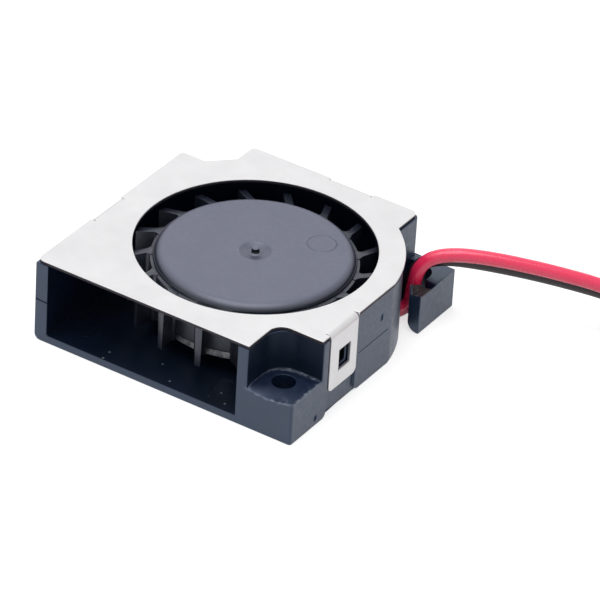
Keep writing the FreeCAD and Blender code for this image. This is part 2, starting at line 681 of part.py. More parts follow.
def pole_plan(arm_width, low, high, reach):
    """Arms of the stator from its hub out to a radius, one for each pole."""
    arm = block((AXIS_X + TUBE_RADIUS + FIT, AXIS_X + reach), (-arm_width / 2, arm_width / 2), (low, high))
    return [turned(arm, POLE_FIRST + 360.0 * index / POLES) for index in range(POLES)]


def pole_shoe():
    """Curved shoe at the end of the first pole."""
    inner = CORE_RADIUS - SHOE_THICK
    first = -SHOE_HALF_ANGLE
    steps = [polar(CORE_RADIUS, first), (polar(CORE_RADIUS, 0), polar(CORE_RADIUS, SHOE_HALF_ANGLE)),
             polar(inner, SHOE_HALF_ANGLE), (polar(inner, 0), polar(inner, first))]
    return prism(polar(inner, first), steps, CORE_FOOT, CORE_TOP)


def stator_core():
    """Stack of steel laminations with four poles."""
    core = disc(CORE_HUB, CORE_FOOT, CORE_TOP)
    shoes = [turned(pole_shoe(), POLE_FIRST + 360.0 * index / POLES) for index in range(POLES)]
    core = core.fuse(pole_plan(ARM_WIDTH, CORE_FOOT, CORE_TOP, CORE_RADIUS - SHOE_THICK / 2) + shoes)
    return core.cut(disc(TUBE_RADIUS + FIT, CORE_FOOT - BEYOND, CORE_TOP + BEYOND)).removeSplitter()


def bobbin(low, high, flange_low, flange_high):
    """Plastic liner over one face of the core, with a flange inside and outside each winding."""
    width = ARM_WIDTH + 2 * LINER
    reach = CORE_RADIUS - SHOE_THICK
    body = disc(CORE_HUB + FLANGE, low, high)
    body = body.fuse(pole_plan(width, low, high, reach))
    flange_half = width / 2 + WINDING
    flange = block((AXIS_X + reach - FLANGE, AXIS_X + reach - FIT), (-flange_half, flange_half),
                   (flange_low, flange_high))
    flanges = [turned(flange, POLE_FIRST + 360.0 * index / POLES) for index in range(POLES)]
    body = body.fuse(flanges + [disc(CORE_HUB + FLANGE, flange_low, flange_high)])
    body = body.cut(disc(TUBE_RADIUS + FIT, low - BEYOND * 3, high + BEYOND * 3))
    return body.cut(stator_core())


def insulator_upper():
    """Upper liner of the core."""
    return bobbin(CORE_MIDDLE, CORE_TOP + LINER, CORE_MIDDLE, CORE_TOP + LINER + WINDING)


def pin_block(width, low, high, angle):
    """Square upright bar at the place of a winding pin."""
    x = AXIS_X + PIN_CIRCLE_RADIUS
    return turned(block((x - width / 2, x + width / 2), (-width / 2, width / 2), (low, high)), angle)


def insulator_lower():
    """Lower liner of the core, with bosses that hold the winding pins."""
    body = bobbin(CORE_FOOT - LINER, CORE_MIDDLE, CORE_FOOT - LINER - WINDING, CORE_MIDDLE)
    bosses = []
    for angle in PIN_ANGLES:
        bosses.append(pin_block(PIN_BOSS_WIDTH, CORE_FOOT - LINER - WINDING, CORE_MIDDLE, angle))
    body = body.fuse(bosses)
    for angle in PIN_ANGLES:
        body = body.cut(pin_block(PIN_WIDTH + 2 * FIT, CORE_FOOT - 2 * BEYOND, CORE_FOOT + FIT, angle))
    return body


def winding(index):
    """Copper winding round one arm, between its two flanges."""
    start = AXIS_X + CORE_HUB + FLANGE + FIT
    end = AXIS_X + CORE_RADIUS - SHOE_THICK - FLANGE - FIT
    inner = ARM_WIDTH / 2 + LINER + FIT
    outer = ARM_WIDTH / 2 + LINER + WINDING
    low = CORE_FOOT - LINER
    high = CORE_TOP + LINER
    coil = block((start, end), (-outer, outer), (low - WINDING, high + WINDING))
    long_edges = [edge for edge in coil.Edges if edge.BoundBox.XLength > end - start - NEAR]
    coil = coil.makeFillet(WINDING_ROUND, long_edges)
    coil = coil.cut(block((start - BEYOND, end + BEYOND), (-inner, inner), (low - FIT, high + FIT)))
    return turned(coil, POLE_FIRST + 360.0 * index / POLES)


def terminal_pins():
    """Pins that take the ends of the windings down through the circuit board."""
    low = BOARD_FOOT - SOLDER_HEIGHT
    return Part.makeCompound([pin_block(PIN_WIDTH, low, CORE_FOOT, angle) for angle in PIN_ANGLES])


def circuit_board():
    """Round board under the stator, drilled for the pins."""
    board = ring(BOARD_RADIUS, TUBE_RADIUS + FIT, BOARD_FOOT, BOARD_TOP)
    for angle in PIN_ANGLES:
        spot = polar(PIN_CIRCLE_RADIUS, angle)
        board = board.cut(disc(PIN_HOLE_RADIUS, BOARD_FOOT - BEYOND, BOARD_TOP + BEYOND, (spot.x, spot.y)))
    return board


def board_part(size, angle):
    """Small component on top of the board, square to its radius."""
    length, width, height = size
    x = AXIS_X + PART_CIRCLE
    body = block((x - width / 2, x + width / 2), (-length / 2, length / 2), (BOARD_TOP, BOARD_TOP + height))
    return turned(body, angle)


def solder_joints():
    """Solder round the pins and on the bared ends of the leads, under the board."""
    joints = []
    for angle in PIN_ANGLES:
        spot = polar(PIN_CIRCLE_RADIUS, angle)
        cone = Part.makeCone(PIN_HOLE_RADIUS, SOLDER_RADIUS, SOLDER_HEIGHT,
                             point(spot.x, spot.y, BOARD_FOOT - SOLDER_HEIGHT))
        joints.append(cone.cut(pin_block(PIN_WIDTH, 0, BOARD_FOOT + BEYOND, angle)))
    for side in (-1, 1):
        strand_y = side * lead_spread()
        end_x = AXIS_X + LEAD_START_RADIUS
        strand = Part.makeCylinder(STRIP_RADIUS, STRIP_LENGTH, point(end_x - STRIP_LENGTH, strand_y, LEAD_Z),
                                   point(1, 0, 0))
        bead = Part.makeCone(STRIP_RADIUS, SOLDER_RADIUS, BOARD_FOOT - LEAD_Z,
                             point(end_x - STRIP_LENGTH / 2, strand_y, LEAD_Z))
        joints.append(turned(strand.fuse(bead), LEAD_ANGLE))
    return Part.makeCompound(joints)


def lead_spread():
    """Half the distance between the leads where they are soldered to the board."""
    return CHANNEL_HALF - CHANNEL_CLEARANCE / 2 - LEAD_RADIUS


def lead_start(side):
    """Points of one lead inside the case, from its solder joint along the channel."""
    turn = math.radians(LEAD_ANGLE)
    across = (math.sin(turn), -math.cos(turn))
    first = polar(LEAD_START_RADIUS, LEAD_ANGLE, LEAD_Z)
    second = polar(CHANNEL_ROOF_RADIUS + 3 * BEYOND, LEAD_ANGLE, LEAD_Z)
    spread = lead_spread()
    pair = LEAD_PAIR / 2
    return [point(first.x + side * spread * across[0], first.y + side * spread * across[1], LEAD_Z),
            point(second.x + side * pair * across[0], second.y + side * pair * across[1], LEAD_Z)]


def rounded_route(points):
    """Wire of straight runs joined by tangent arcs, each as large as its two runs allow."""
    edges = []
    radii = []
    here = points[0]
    for before, corner, after in zip(points, points[1:], points[2:]):
        into = corner - before
        out = after - corner
        half_turn = into.getAngle(out) / 2
        cut = 0.45 * min(into.Length, out.Length)
        radii.append(cut / math.tan(half_turn))
        into.normalize()
        out.normalize()
        start = corner - into * cut
        end = corner + out * cut
        toward = end + start - corner * 2
        toward.normalize()
        middle = corner + toward * (radii[-1] / math.cos(half_turn) - radii[-1])
        edges.append(Part.LineSegment(here, start).toShape())
        edges.append(Part.Arc(start, middle, end).toShape())
        here = end
    edges.append(Part.LineSegment(here, points[-1]).toShape())
    return Part.Wire(edges), radii


def tube(name, points):
    """Plain round wire along a route; its radii and volume are printed."""
    route, radii = rounded_route(points)
    heading = points[1] - points[0]
    circle = Part.Wire(Part.Circle(points[0], heading, LEAD_RADIUS).toShape())
    solid = route.makePipeShell([circle], True, False)
    expected = math.pi * LEAD_RADIUS ** 2 * route.Length
    share = solid.Volume / expected
    print(name, "length %.1f" % route.Length, "volume over section times length %.4f" % share,
          "radii", " ".join("%.1f" % radius for radius in radii))
    return solid


def coil_depth():
    """Radial and upright size of the coil: two wires wide and two high."""
    return LEAD_PAIR + 2 * LEAD_RADIUS


def lead_coil():
    """Outer form of the wound-up length of both leads."""
    half = coil_depth() / 2
    return ring(COIL_RADIUS + half, COIL_RADIUS - half, COIL_LIFT, COIL_LIFT + 2 * half, COIL_CENTRE)


def coil_tie():
    """Flat band round the coil's section."""
    half = coil_depth() / 2 + FIT
    x_mid = COIL_CENTRE[0] + COIL_RADIUS
    y_mid = COIL_CENTRE[1]
    low = COIL_LIFT - FIT
    high = COIL_LIFT + 2 * half
    outside = block((x_mid - half - TIE_THICK, x_mid + half + TIE_THICK),
                    (y_mid - TIE_WIDTH / 2, y_mid + TIE_WIDTH / 2), (low - TIE_THICK, high + TIE_THICK))
    bend = TIE_WIDTH ** 2 / (8 * (COIL_RADIUS - half))
    inside = block((x_mid - half - bend, x_mid + half), (y_mid - TIE_WIDTH, y_mid + TIE_WIDTH), (low, high))
    return turned(outside.cut(inside), TIE_ANGLE, COIL_CENTRE)


def plug_middle():
    """X of the middle of the connector, in line with the leads that leave the coil."""
    return COIL_CENTRE[0] + COIL_RADIUS


def tail_route(side):
    """Points of one lead from the coil to the connector."""
    x = plug_middle()
    z_top = COIL_LIFT + LEAD_PAIR + LEAD_RADIUS
    start_y = COIL_CENTRE[1]
    end_y = PLUG_START_Y - PLUG_WALL
    near = x + side * LEAD_PAIR / 2
    far = x + side * PLUG_PITCH / 2
    slope = (PLUG_HEIGHT / 2 - z_top) / 5
    return [point(near, start_y, z_top), point(near, start_y - (start_y - end_y) * 0.3, z_top + slope),
            point(far, start_y - (start_y - end_y) * 0.7, PLUG_HEIGHT / 2), point(far, end_y, PLUG_HEIGHT / 2)]


def connector_housing():
    """Two-way connector body with a bore for each lead and a slot for each contact."""
    x = plug_middle()
    y_back = PLUG_START_Y
    y_front = PLUG_START_Y - PLUG_LENGTH
    z_mid = PLUG_HEIGHT / 2
    body = block((x - PLUG_WIDTH / 2, x + PLUG_WIDTH / 2), (y_front, y_back), (0, PLUG_HEIGHT))
    long_edges = [edge for edge in body.Edges if edge.BoundBox.YLength > PLUG_LENGTH - NEAR]
    body = body.makeFillet(PLUG_WALL / 3, long_edges)
    half = PLUG_PITCH / 2 - PLUG_WALL / 3
    slot = half * PLUG_NARROWING
    for side in (-1, 1):
        at = x + side * PLUG_PITCH / 2
        body = body.cut(block((at - half, at + half), (y_back - PLUG_BORE, y_back + BEYOND),
                              (z_mid - half, z_mid + half)))
        body = body.cut(block((at - slot, at + slot), (y_front - BEYOND, y_back - PLUG_BORE + FIT),
                              (z_mid - slot, z_mid + slot)))
        body = body.cut(block((at - slot, at + slot), (y_front + PLUG_WALL * 2, y_back - PLUG_BORE),
                              (z_mid, PLUG_HEIGHT + BEYOND)))
    return body


def connector_contacts():
    """Crimped contacts on the ends of the leads, inside the connector."""
    contacts = []
    x = plug_middle()
    z_mid = PLUG_HEIGHT / 2
    inner = PLUG_START_Y - PLUG_WALL
    bore_end = PLUG_START_Y - PLUG_BORE
    mouth = PLUG_START_Y - PLUG_LENGTH
    half = (PLUG_PITCH / 2 - PLUG_WALL / 3) * PLUG_NARROWING - FIT
    for side in (-1, 1):
        at = x + side * PLUG_PITCH / 2
        crimp = Part.makeCylinder(LEAD_RADIUS, PLUG_BORE - PLUG_WALL - FIT, point(at, inner, z_mid),
                                  point(0, -1, 0))
        box = block((at - half, at + half), (mouth + PLUG_WALL, bore_end + BEYOND),
                    (z_mid - half, z_mid + half))
        hollow = block((at - half + CONTACT_WALL, at + half - CONTACT_WALL), (mouth, bore_end - PLUG_WALL),
                       (z_mid - half + CONTACT_WALL, z_mid + half - CONTACT_WALL))
        contacts.append(crimp.fuse(box).cut(hollow))
    return Part.makeCompound(contacts)


def save(name, shape):
    """Check one node's shape and write its file."""
    box = shape.BoundBox
    print("%-20s solids %d valid %s volume %.2f  X %.2f %.2f  Y %.2f %.2f  Z %.2f %.2f" % (
        name, len(shape.Solids), shape.isValid(), shape.Volume,
        box.XMin, box.XMax, box.YMin, box.YMax, box.ZMin, box.ZMax))
    shape.exportStep(os.path.join("parts", name + ".step"))


def main():
    """Write every node of the fan."""
    os.makedirs("parts", exist_ok=True)
    save("housing", housing())
    save("cover_plate", cover_plate())
    save("impeller", impeller())
    save("rotor_yoke", rotor_yoke())
    save("rotor_magnet", rotor_magnet())
    save("shaft", shaft())
    save("retaining_clip", retaining_clip())
    save("sleeve_bearing", sleeve_bearing())
    save("thrust_pad", thrust_pad())
    save("oil_ring", oil_ring())
    save("stator_core", stator_core())
    save("insulator_upper", insulator_upper())
    save("insulator_lower", insulator_lower())
    for index in range(POLES):
        save("winding_%d" % (index + 1), winding(index))
    save("terminal_pins", terminal_pins())
    save("circuit_board", circuit_board())
    save("driver_chip", board_part(CHIP_SIZE, CHIP_ANGLE))
    save("capacitor", board_part(CAPACITOR_SIZE, CAPACITOR_ANGLE))
    save("resistor", board_part(RESISTOR_SIZE, RESISTOR_ANGLE))
    save("solder_joints", solder_joints())
    save("lead_red", tube("lead_red", lead_start(1) + [point(*place) for place in RED_ROUTE]))
    save("lead_black", tube("lead_black", lead_start(-1) + [point(*place) for place in BLACK_ROUTE]))
    save("lead_coil", lead_coil())
    save("coil_tie", coil_tie())
    save("lead_red_tail", tube("lead_red_tail", tail_route(-1)))
    save("lead_black_tail", tube("lead_black_tail", tail_route(1)))
    save("connector_housing", connector_housing())
    save("connector_contacts", connector_contacts())


main()
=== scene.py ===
import logging
import math
from dataclasses import dataclass, field
from enum import Enum

import bmesh
import bpy
from mathutils import Matrix, Vector
from mathutils.bvhtree import BVHTree


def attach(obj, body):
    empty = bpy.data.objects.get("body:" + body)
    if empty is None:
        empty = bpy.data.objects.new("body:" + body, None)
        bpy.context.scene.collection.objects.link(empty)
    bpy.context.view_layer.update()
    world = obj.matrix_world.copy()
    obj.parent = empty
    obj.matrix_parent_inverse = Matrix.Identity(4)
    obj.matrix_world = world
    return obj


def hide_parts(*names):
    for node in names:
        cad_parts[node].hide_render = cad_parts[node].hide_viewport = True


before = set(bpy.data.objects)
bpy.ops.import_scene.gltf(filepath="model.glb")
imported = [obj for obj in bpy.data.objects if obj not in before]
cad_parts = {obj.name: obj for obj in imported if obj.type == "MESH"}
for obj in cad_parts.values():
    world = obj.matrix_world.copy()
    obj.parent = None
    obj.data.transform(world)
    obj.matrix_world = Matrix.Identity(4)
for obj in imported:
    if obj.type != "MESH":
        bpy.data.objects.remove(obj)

LOG = logging.getLogger("blower")
MM = 0.001
AXIS = (0.6, 0.0)
HALF_SIDE = 17.5
CLOSE = 0.01
# Face attribute that marks the cover's sheared edges, which take painted shade.
CUT_EDGE = "cut_edge_shade"

# Distances in metres within which points become one, and the angle in degrees up to which faces count as flat.
MERGE = 0.000004
SEAM_MERGE = 0.000001
FINE_MERGE = 0.0000005
FLAT = 0.4

# Roundings: strips of each, and how far a point may leave the solid, as a share of the width.
STRIPS = 2
HOLD = 0.75

# Turned pieces: steps of a turn, and the least angle in degrees that stays sharp.
ROUND_STEPS = 144
ROUND_ANGLE = 50.0

# Limits on a face's normal: its height is below UPRIGHT on an upright face and above LEVEL on a level one. FACING
# is the least product of the normal and the way out from the rotor's axis, in millimetres, that counts.
UPRIGHT = 0.5
LEVEL = 0.7
FACING = 0.3

# Middle range of a noise, in which most of its values lie.
NOISE_RANGE = (0.3, 0.7)

Colour = tuple[float, float, float]
Point = tuple[float, float, float]


class Body(Enum):
    """The two rigid bodies of the fan."""

    CASE = "case"
    ROTOR = "rotor"


class LeadSide(Enum):
    """Which of the two leads a wire is."""

    RED = "red"
    BLACK = "black"

    @property
    def outward(self) -> float:
        """-1 for the lead that lies on the inner side of the turns, and 1 for the outer one."""
        return -1.0 if self is LeadSide.RED else 1.0


class CaseFinish(Enum):
    """Material slots of the case: the plastic, then painted shade for the sockets and for the inside."""

    OUTSIDE = 0
    SOCKET = 1
    INSIDE = 2


class CapFinish(Enum):
    """Material slots of the hub's cap: its plastic, then painted shade for the nub's sides."""

    PLASTIC = 0
    SHADED_NUB_SIDE = 1


# ---------------------------------------------------------------- shader work


class Nodes:
    """Short way to add nodes to a tree and join them."""

    def __init__(self, tree: bpy.types.NodeTree) -> None:
        """Keep the tree that is being filled.

        Args:
            tree: a material's tree or a group's tree.
        """
        self.tree = tree

    def add(self, kind: str, **values: object) -> bpy.types.Node:
        """Add one node and set its properties.

        Args:
            kind: Blender's type name of the node.
            **values: properties of the node.

        Returns:
            The new node.
        """
        node = self.tree.nodes.new(kind)
        for name, value in values.items():
            setattr(node, name, value)
        return node

    def join(self, start: object, end: object) -> None:
        """Link an output socket to an input socket."""
        self.tree.links.new(start, end)

    def math(self, operation: str, first: object, second: object = 0.0, third: object = 0.0) -> object:
        """Add a Math node.

        Args:
            operation: what it does.
            first: a socket or a number.
            second: a socket or a number.
            third: a socket or a number.

        Returns:
            Its output socket.
        """
        node = self.add("ShaderNodeMath", operation=operation)
        for index, value in enumerate((first, second, third)):
            if isinstance(value, (int, float)):
                node.inputs[index].default_value = value
            else:
                self.join(value, node.inputs[index])
        return node.outputs[0]

    def vector(self, operation: str, first: object, second: object = None, factor: object = None) -> object:
        """Add a Vector Math node.

        Args:
            operation: what it does.
            first: a socket or a vector.
            second: a socket or a vector.
            factor: the socket that SCALE multiplies by.

        Returns:
            Its number for a distance or a dot product, its vector otherwise.
        """
        node = self.add("ShaderNodeVectorMath", operation=operation)
        for label, value in ((0, first), (1, second), ("Scale", factor)):
            if isinstance(value, tuple):
                node.inputs[label].default_value = value
            elif value is not None:
                self.join(value, node.inputs[label])
        return node.outputs["Value" if operation in ("DISTANCE", "DOT_PRODUCT") else "Vector"]

    def largest(self, values: list[object]) -> object:
        """Largest of several masks.

        Args:
            values: their sockets.

        Returns:
            The socket of the largest, or None if there is none.
        """
        total = None
        for value in values:
            total = value if total is None else self.math("MAXIMUM", total, value)
        return total

    def blend(self, factor: object, first: object, second: object) -> object:
        """Mix two colours by a mask.

        Args:
            factor: socket or number, 0 for the first colour.
            first: socket or colour.
            second: socket or colour.

        Returns:
            The colour socket.
        """
        node = self.add("ShaderNodeMix", data_type="RGBA")
        for index, value in ((0, factor), (6, first), (7, second)):
            if isinstance(value, (int, float)):
                node.inputs[index].default_value = value
            elif isinstance(value, tuple):
                node.inputs[index].default_value = (*value, 1.0)
            else:
                self.join(value, node.inputs[index])
        return node.outputs[2]

    def limits(self, value: object, low: float, high: float, to_low: float, to_high: float) -> object:
        """Map a value's range to another range, clamped.

        Args:
            value: the socket.
            low: start of its range.
            high: end of its range.
            to_low: start of the new range.
            to_high: end of the new range.

        Returns:
            The mapped socket.
        """
        node = self.add("ShaderNodeMapRange")
        self.join(value, node.inputs[0])
        for index, number in enumerate((low, high, to_low, to_high), start=1):
            node.inputs[index].default_value = number
        return node.outputs[0]


class Effects:
    """Shader groups that more than one finish uses, each built once."""

    def __init__(self) -> None:
        """Build every group."""
        self.grain = self._grain()
        self.blotch = self._blotch()
        self.dust = self._dust()
        self.ring = self._ring()
        self.stroke = self._stroke()

    @staticmethod
    def _start(name: str, inputs: tuple[tuple[str, str, float], ...],
               outputs: tuple[tuple[str, str], ...]) -> tuple[Nodes, bpy.types.Node, bpy.types.Node]:
        """Make an empty group with its sockets.

        Args:
            name: the group's name.
            inputs: name, socket kind and starting value of each input.
            outputs: name and socket kind of each output.

        Returns:
            The node helper, the group's input node and its output node.
        """
        tree = bpy.data.node_groups.new(name, "ShaderNodeTree")
        for label, kind, value in inputs:
            socket = tree.interface.new_socket(name=label, in_out="INPUT", socket_type=kind)
            if kind == "NodeSocketFloat":
                socket.default_value = value
        for label, kind in outputs:
            tree.interface.new_socket(name=label, in_out="OUTPUT", socket_type=kind)
        nodes = Nodes(tree)
        return nodes, nodes.add("NodeGroupInput"), nodes.add("NodeGroupOutput")

    def _grain(self) -> bpy.types.NodeTree:
        """Fine moulded or rolled surface: a height and a tone from two sizes of noise.

        Returns:
            The group's tree.
        """
        nodes, start, end = self._start(
            "surface_grain", (("Vector", "NodeSocketVector", 0), ("Fine", "NodeSocketFloat", 9000.0),
                              ("Coarse", "NodeSocketFloat", 1800.0)),
            (("Height", "NodeSocketFloat"), ("Tone", "NodeSocketFloat")))
        fine = nodes.add("ShaderNodeTexNoise")
        fine.inputs["Detail"].default_value = 2.0
        coarse = nodes.add("ShaderNodeTexNoise")
        coarse.inputs["Detail"].default_value = 3.0
        for noise, label in ((fine, "Fine"), (coarse, "Coarse")):
            nodes.join(start.outputs["Vector"], noise.inputs["Vector"])
            nodes.join(start.outputs[label], noise.inputs["Scale"])
        height = nodes.math("MULTIPLY_ADD", fine.outputs["Fac"], 0.6,
                            nodes.math("MULTIPLY", coarse.outputs["Fac"], 0.4))
        nodes.join(height, end.inputs["Height"])
        nodes.join(coarse.outputs["Fac"], end.inputs["Tone"])
        return nodes.tree

    def _blotch(self) -> bpy.types.NodeTree:
        """Slow change of tone over millimetres, from handling and moulding.

        Returns:
            The group's tree.
        """
        nodes, start, end = self._start(
            "slow_blotch", (("Vector", "NodeSocketVector", 0), ("Scale", "NodeSocketFloat", 220.0)),
            (("Tone", "NodeSocketFloat"),))
        noise = nodes.add("ShaderNodeTexNoise")
        noise.inputs["Detail"].default_value = 4.0
        noise.inputs["Roughness"].default_value = 0.6
        nodes.join(start.outputs["Vector"], noise.inputs["Vector"])
        nodes.join(start.outputs["Scale"], noise.inputs["Scale"])
        nodes.join(nodes.limits(noise.outputs["Fac"], *NOISE_RANGE, 0.0, 1.0), end.inputs["Tone"])
        return nodes.tree

    def _dust(self) -> bpy.types.NodeTree:
        """Sparse pale specks of dust.

        Returns:
            The group's tree.
        """
        nodes, start, end = self._start(
            "dust_specks", (("Vector", "NodeSocketVector", 0), ("Scale", "NodeSocketFloat", 900.0),
                            ("Size", "NodeSocketFloat", 0.06), ("Share", "NodeSocketFloat", 0.12)),
            (("Mask", "NodeSocketFloat"),))
        cells = nodes.add("ShaderNodeTexVoronoi")
        nodes.join(start.outputs["Vector"], cells.inputs["Vector"])
        nodes.join(start.outputs["Scale"], cells.inputs["Scale"])
        near = nodes.math("LESS_THAN", cells.outputs["Distance"], start.outputs["Size"])
        parts = nodes.add("ShaderNodeSeparateColor")
        nodes.join(cells.outputs["Color"], parts.inputs[0])
        chosen = nodes.math("LESS_THAN", parts.outputs[0], start.outputs["Share"])
        nodes.join(nodes.math("MULTIPLY", near, chosen), end.inputs["Mask"])
        return nodes.tree

    def _ring(self) -> bpy.types.NodeTree:
        """Thin round witness line, such as an ejector pin leaves: 1 on the line and 0 off it.

        Returns:
            The group's tree.
        """
        nodes, start, end = self._start(
            "ring_line", (("Vector", "NodeSocketVector", 0), ("Centre", "NodeSocketVector", 0),
                          ("Radius", "NodeSocketFloat", 0.001), ("Width", "NodeSocketFloat", 0.00008)),
            (("Line", "NodeSocketFloat"),))
        away = nodes.vector("DISTANCE", start.outputs["Vector"], start.outputs["Centre"])
        off = nodes.math("ABSOLUTE", nodes.math("SUBTRACT", away, start.outputs["Radius"]))
        share = nodes.math("DIVIDE", off, start.outputs["Width"])
        nodes.join(nodes.math("SMOOTH_MAX", nodes.math("SUBTRACT", 1.0, share), 0.0, 0.2), end.inputs["Line"])
        return nodes.tree

    def _stroke(self) -> bpy.types.NodeTree:
        """Mark along a straight run, or a spot where both ends are one point: 1 in its middle and 0 off it.

        Returns:
            The group's tree.
        """
        nodes, start, end = self._start(
            "short_stroke", (("Vector", "NodeSocketVector", 0), ("From", "NodeSocketVector", 0),
                             ("To", "NodeSocketVector", 0), ("Width", "NodeSocketFloat", 0.0001),
                             ("Waver", "NodeSocketFloat", 0.0)),
            (("Line", "NodeSocketFloat"),))
        noise = nodes.add("ShaderNodeTexNoise")
        noise.inputs["Scale"].default_value = 2600.0
        noise.inputs["Detail"].default_value = 3.0
        nodes.join(start.outputs["Vector"], noise.inputs["Vector"])
        shake = nodes.vector("SCALE", nodes.vector("SUBTRACT", noise.outputs["Color"], (0.5, 0.5, 0.5)),
                             factor=start.outputs["Waver"])
        seat = nodes.vector("ADD", start.outputs["Vector"], shake)
        along = nodes.vector("SUBTRACT", start.outputs["To"], start.outputs["From"])
        reach = nodes.vector("SUBTRACT", seat, start.outputs["From"])
        share = nodes.math("DIVIDE", nodes.vector("DOT_PRODUCT", reach, along),
                           nodes.vector("DOT_PRODUCT", along, along))
        share = nodes.math("MINIMUM", nodes.math("MAXIMUM", share, 0.0), 1.0)
        away = nodes.vector("DISTANCE", reach, nodes.vector("SCALE", along, factor=share))
        line = nodes.math("SUBTRACT", 1.0, nodes.math("DIVIDE", away, start.outputs["Width"]))
        nodes.join(nodes.math("MAXIMUM", line, 0.0), end.inputs["Line"])
        return nodes.tree


class Finish:
    """A material in the making: a Principled BSDF fed by Object coordinates."""

    def __init__(self, name: str) -> None:
        """Start an empty material.

        Args:
            name: the material's name.
        """
        self.material = bpy.data.materials.new(name)
        self.material.use_nodes = True
        self.nodes = Nodes(self.material.node_tree)
        self.shader = self.material.node_tree.nodes["Principled BSDF"]
        self.place = self.nodes.add("ShaderNodeTexCoord").outputs["Object"]

    def constants(self, **values: object) -> None:
        """Set plain numbers or colours on the shader's own sockets.

        Args:
            **values: socket names with underscores for spaces.
        """
        for name, value in values.items():
            self.shader.inputs[name.replace("_", " ")].default_value = (
                (*value, 1.0) if isinstance(value, tuple) else value)

    def effect(self, group: bpy.types.NodeTree, vector: object = None, **values: float) -> bpy.types.Node:
        """Place a shader group.

        Args:
            group: the effect's tree.
            vector: coordinates to use, the object's own if left out.
            **values: values of its inputs.

        Returns:
            The group node.
        """
        node = self.nodes.add("ShaderNodeGroup", node_tree=group)
        self.nodes.join(vector or self.place, node.inputs["Vector"])
        for name, value in values.items():
            node.inputs[name].default_value = value
        return node

    def stretch(self, scale: Point) -> object:
        """Object coordinates stretched along an axis.

        Args:
            scale: factor along X, Y and Z.

        Returns:
            The vector socket.
        """
        node = self.nodes.add("ShaderNodeMapping")
        self.nodes.join(self.place, node.inputs["Vector"])
        node.inputs["Scale"].default_value = scale
        return node.outputs[0]

    def bump(self, height: object, depth: float, under: object = None) -> object:
        """Turn a height into a normal and feed the shader.

        Args:
            height: the height socket, 0 to 1.
            depth: its full depth in metres.
            under: a normal that it adds to.

        Returns:
            The normal socket.
        """
        node = self.nodes.add("ShaderNodeBump")
        node.inputs["Distance"].default_value = depth
        self.nodes.join(height, node.inputs["Height"])
        if under is not None:
            self.nodes.join(under, node.inputs["Normal"])
        self.nodes.join(node.outputs[0], self.shader.inputs["Normal"])
        return node.outputs[0]

    def wander(self, tone: object, middle: float, reach: float) -> object:
        """Roughness that wanders about its middle with the grain.

        Args:
            tone: the grain's tone.
            middle: the middle of the roughness.
            reach: how far it goes to either side.

        Returns:
            The roughness socket.
        """
        return self.nodes.limits(tone, *NOISE_RANGE, middle - reach, middle + reach)

    def dress(self, colour: object, rough: object) -> None:
        """Feed the shader's colour and roughness."""
        self.nodes.join(colour, self.shader.inputs["Base Color"])
        self.nodes.join(rough, self.shader.inputs["Roughness"])


@dataclass(frozen=True)
class Stroke:
    """A short mark on a surface, in millimetres: a line, or a spot where both ends are one point.

    It fades to nothing at its width from the line, and waver shakes its edge.
    """

    start: Point
    end: Point
    width: float = 0.1
    waver: float = 0.0
    strength: float = 1.0


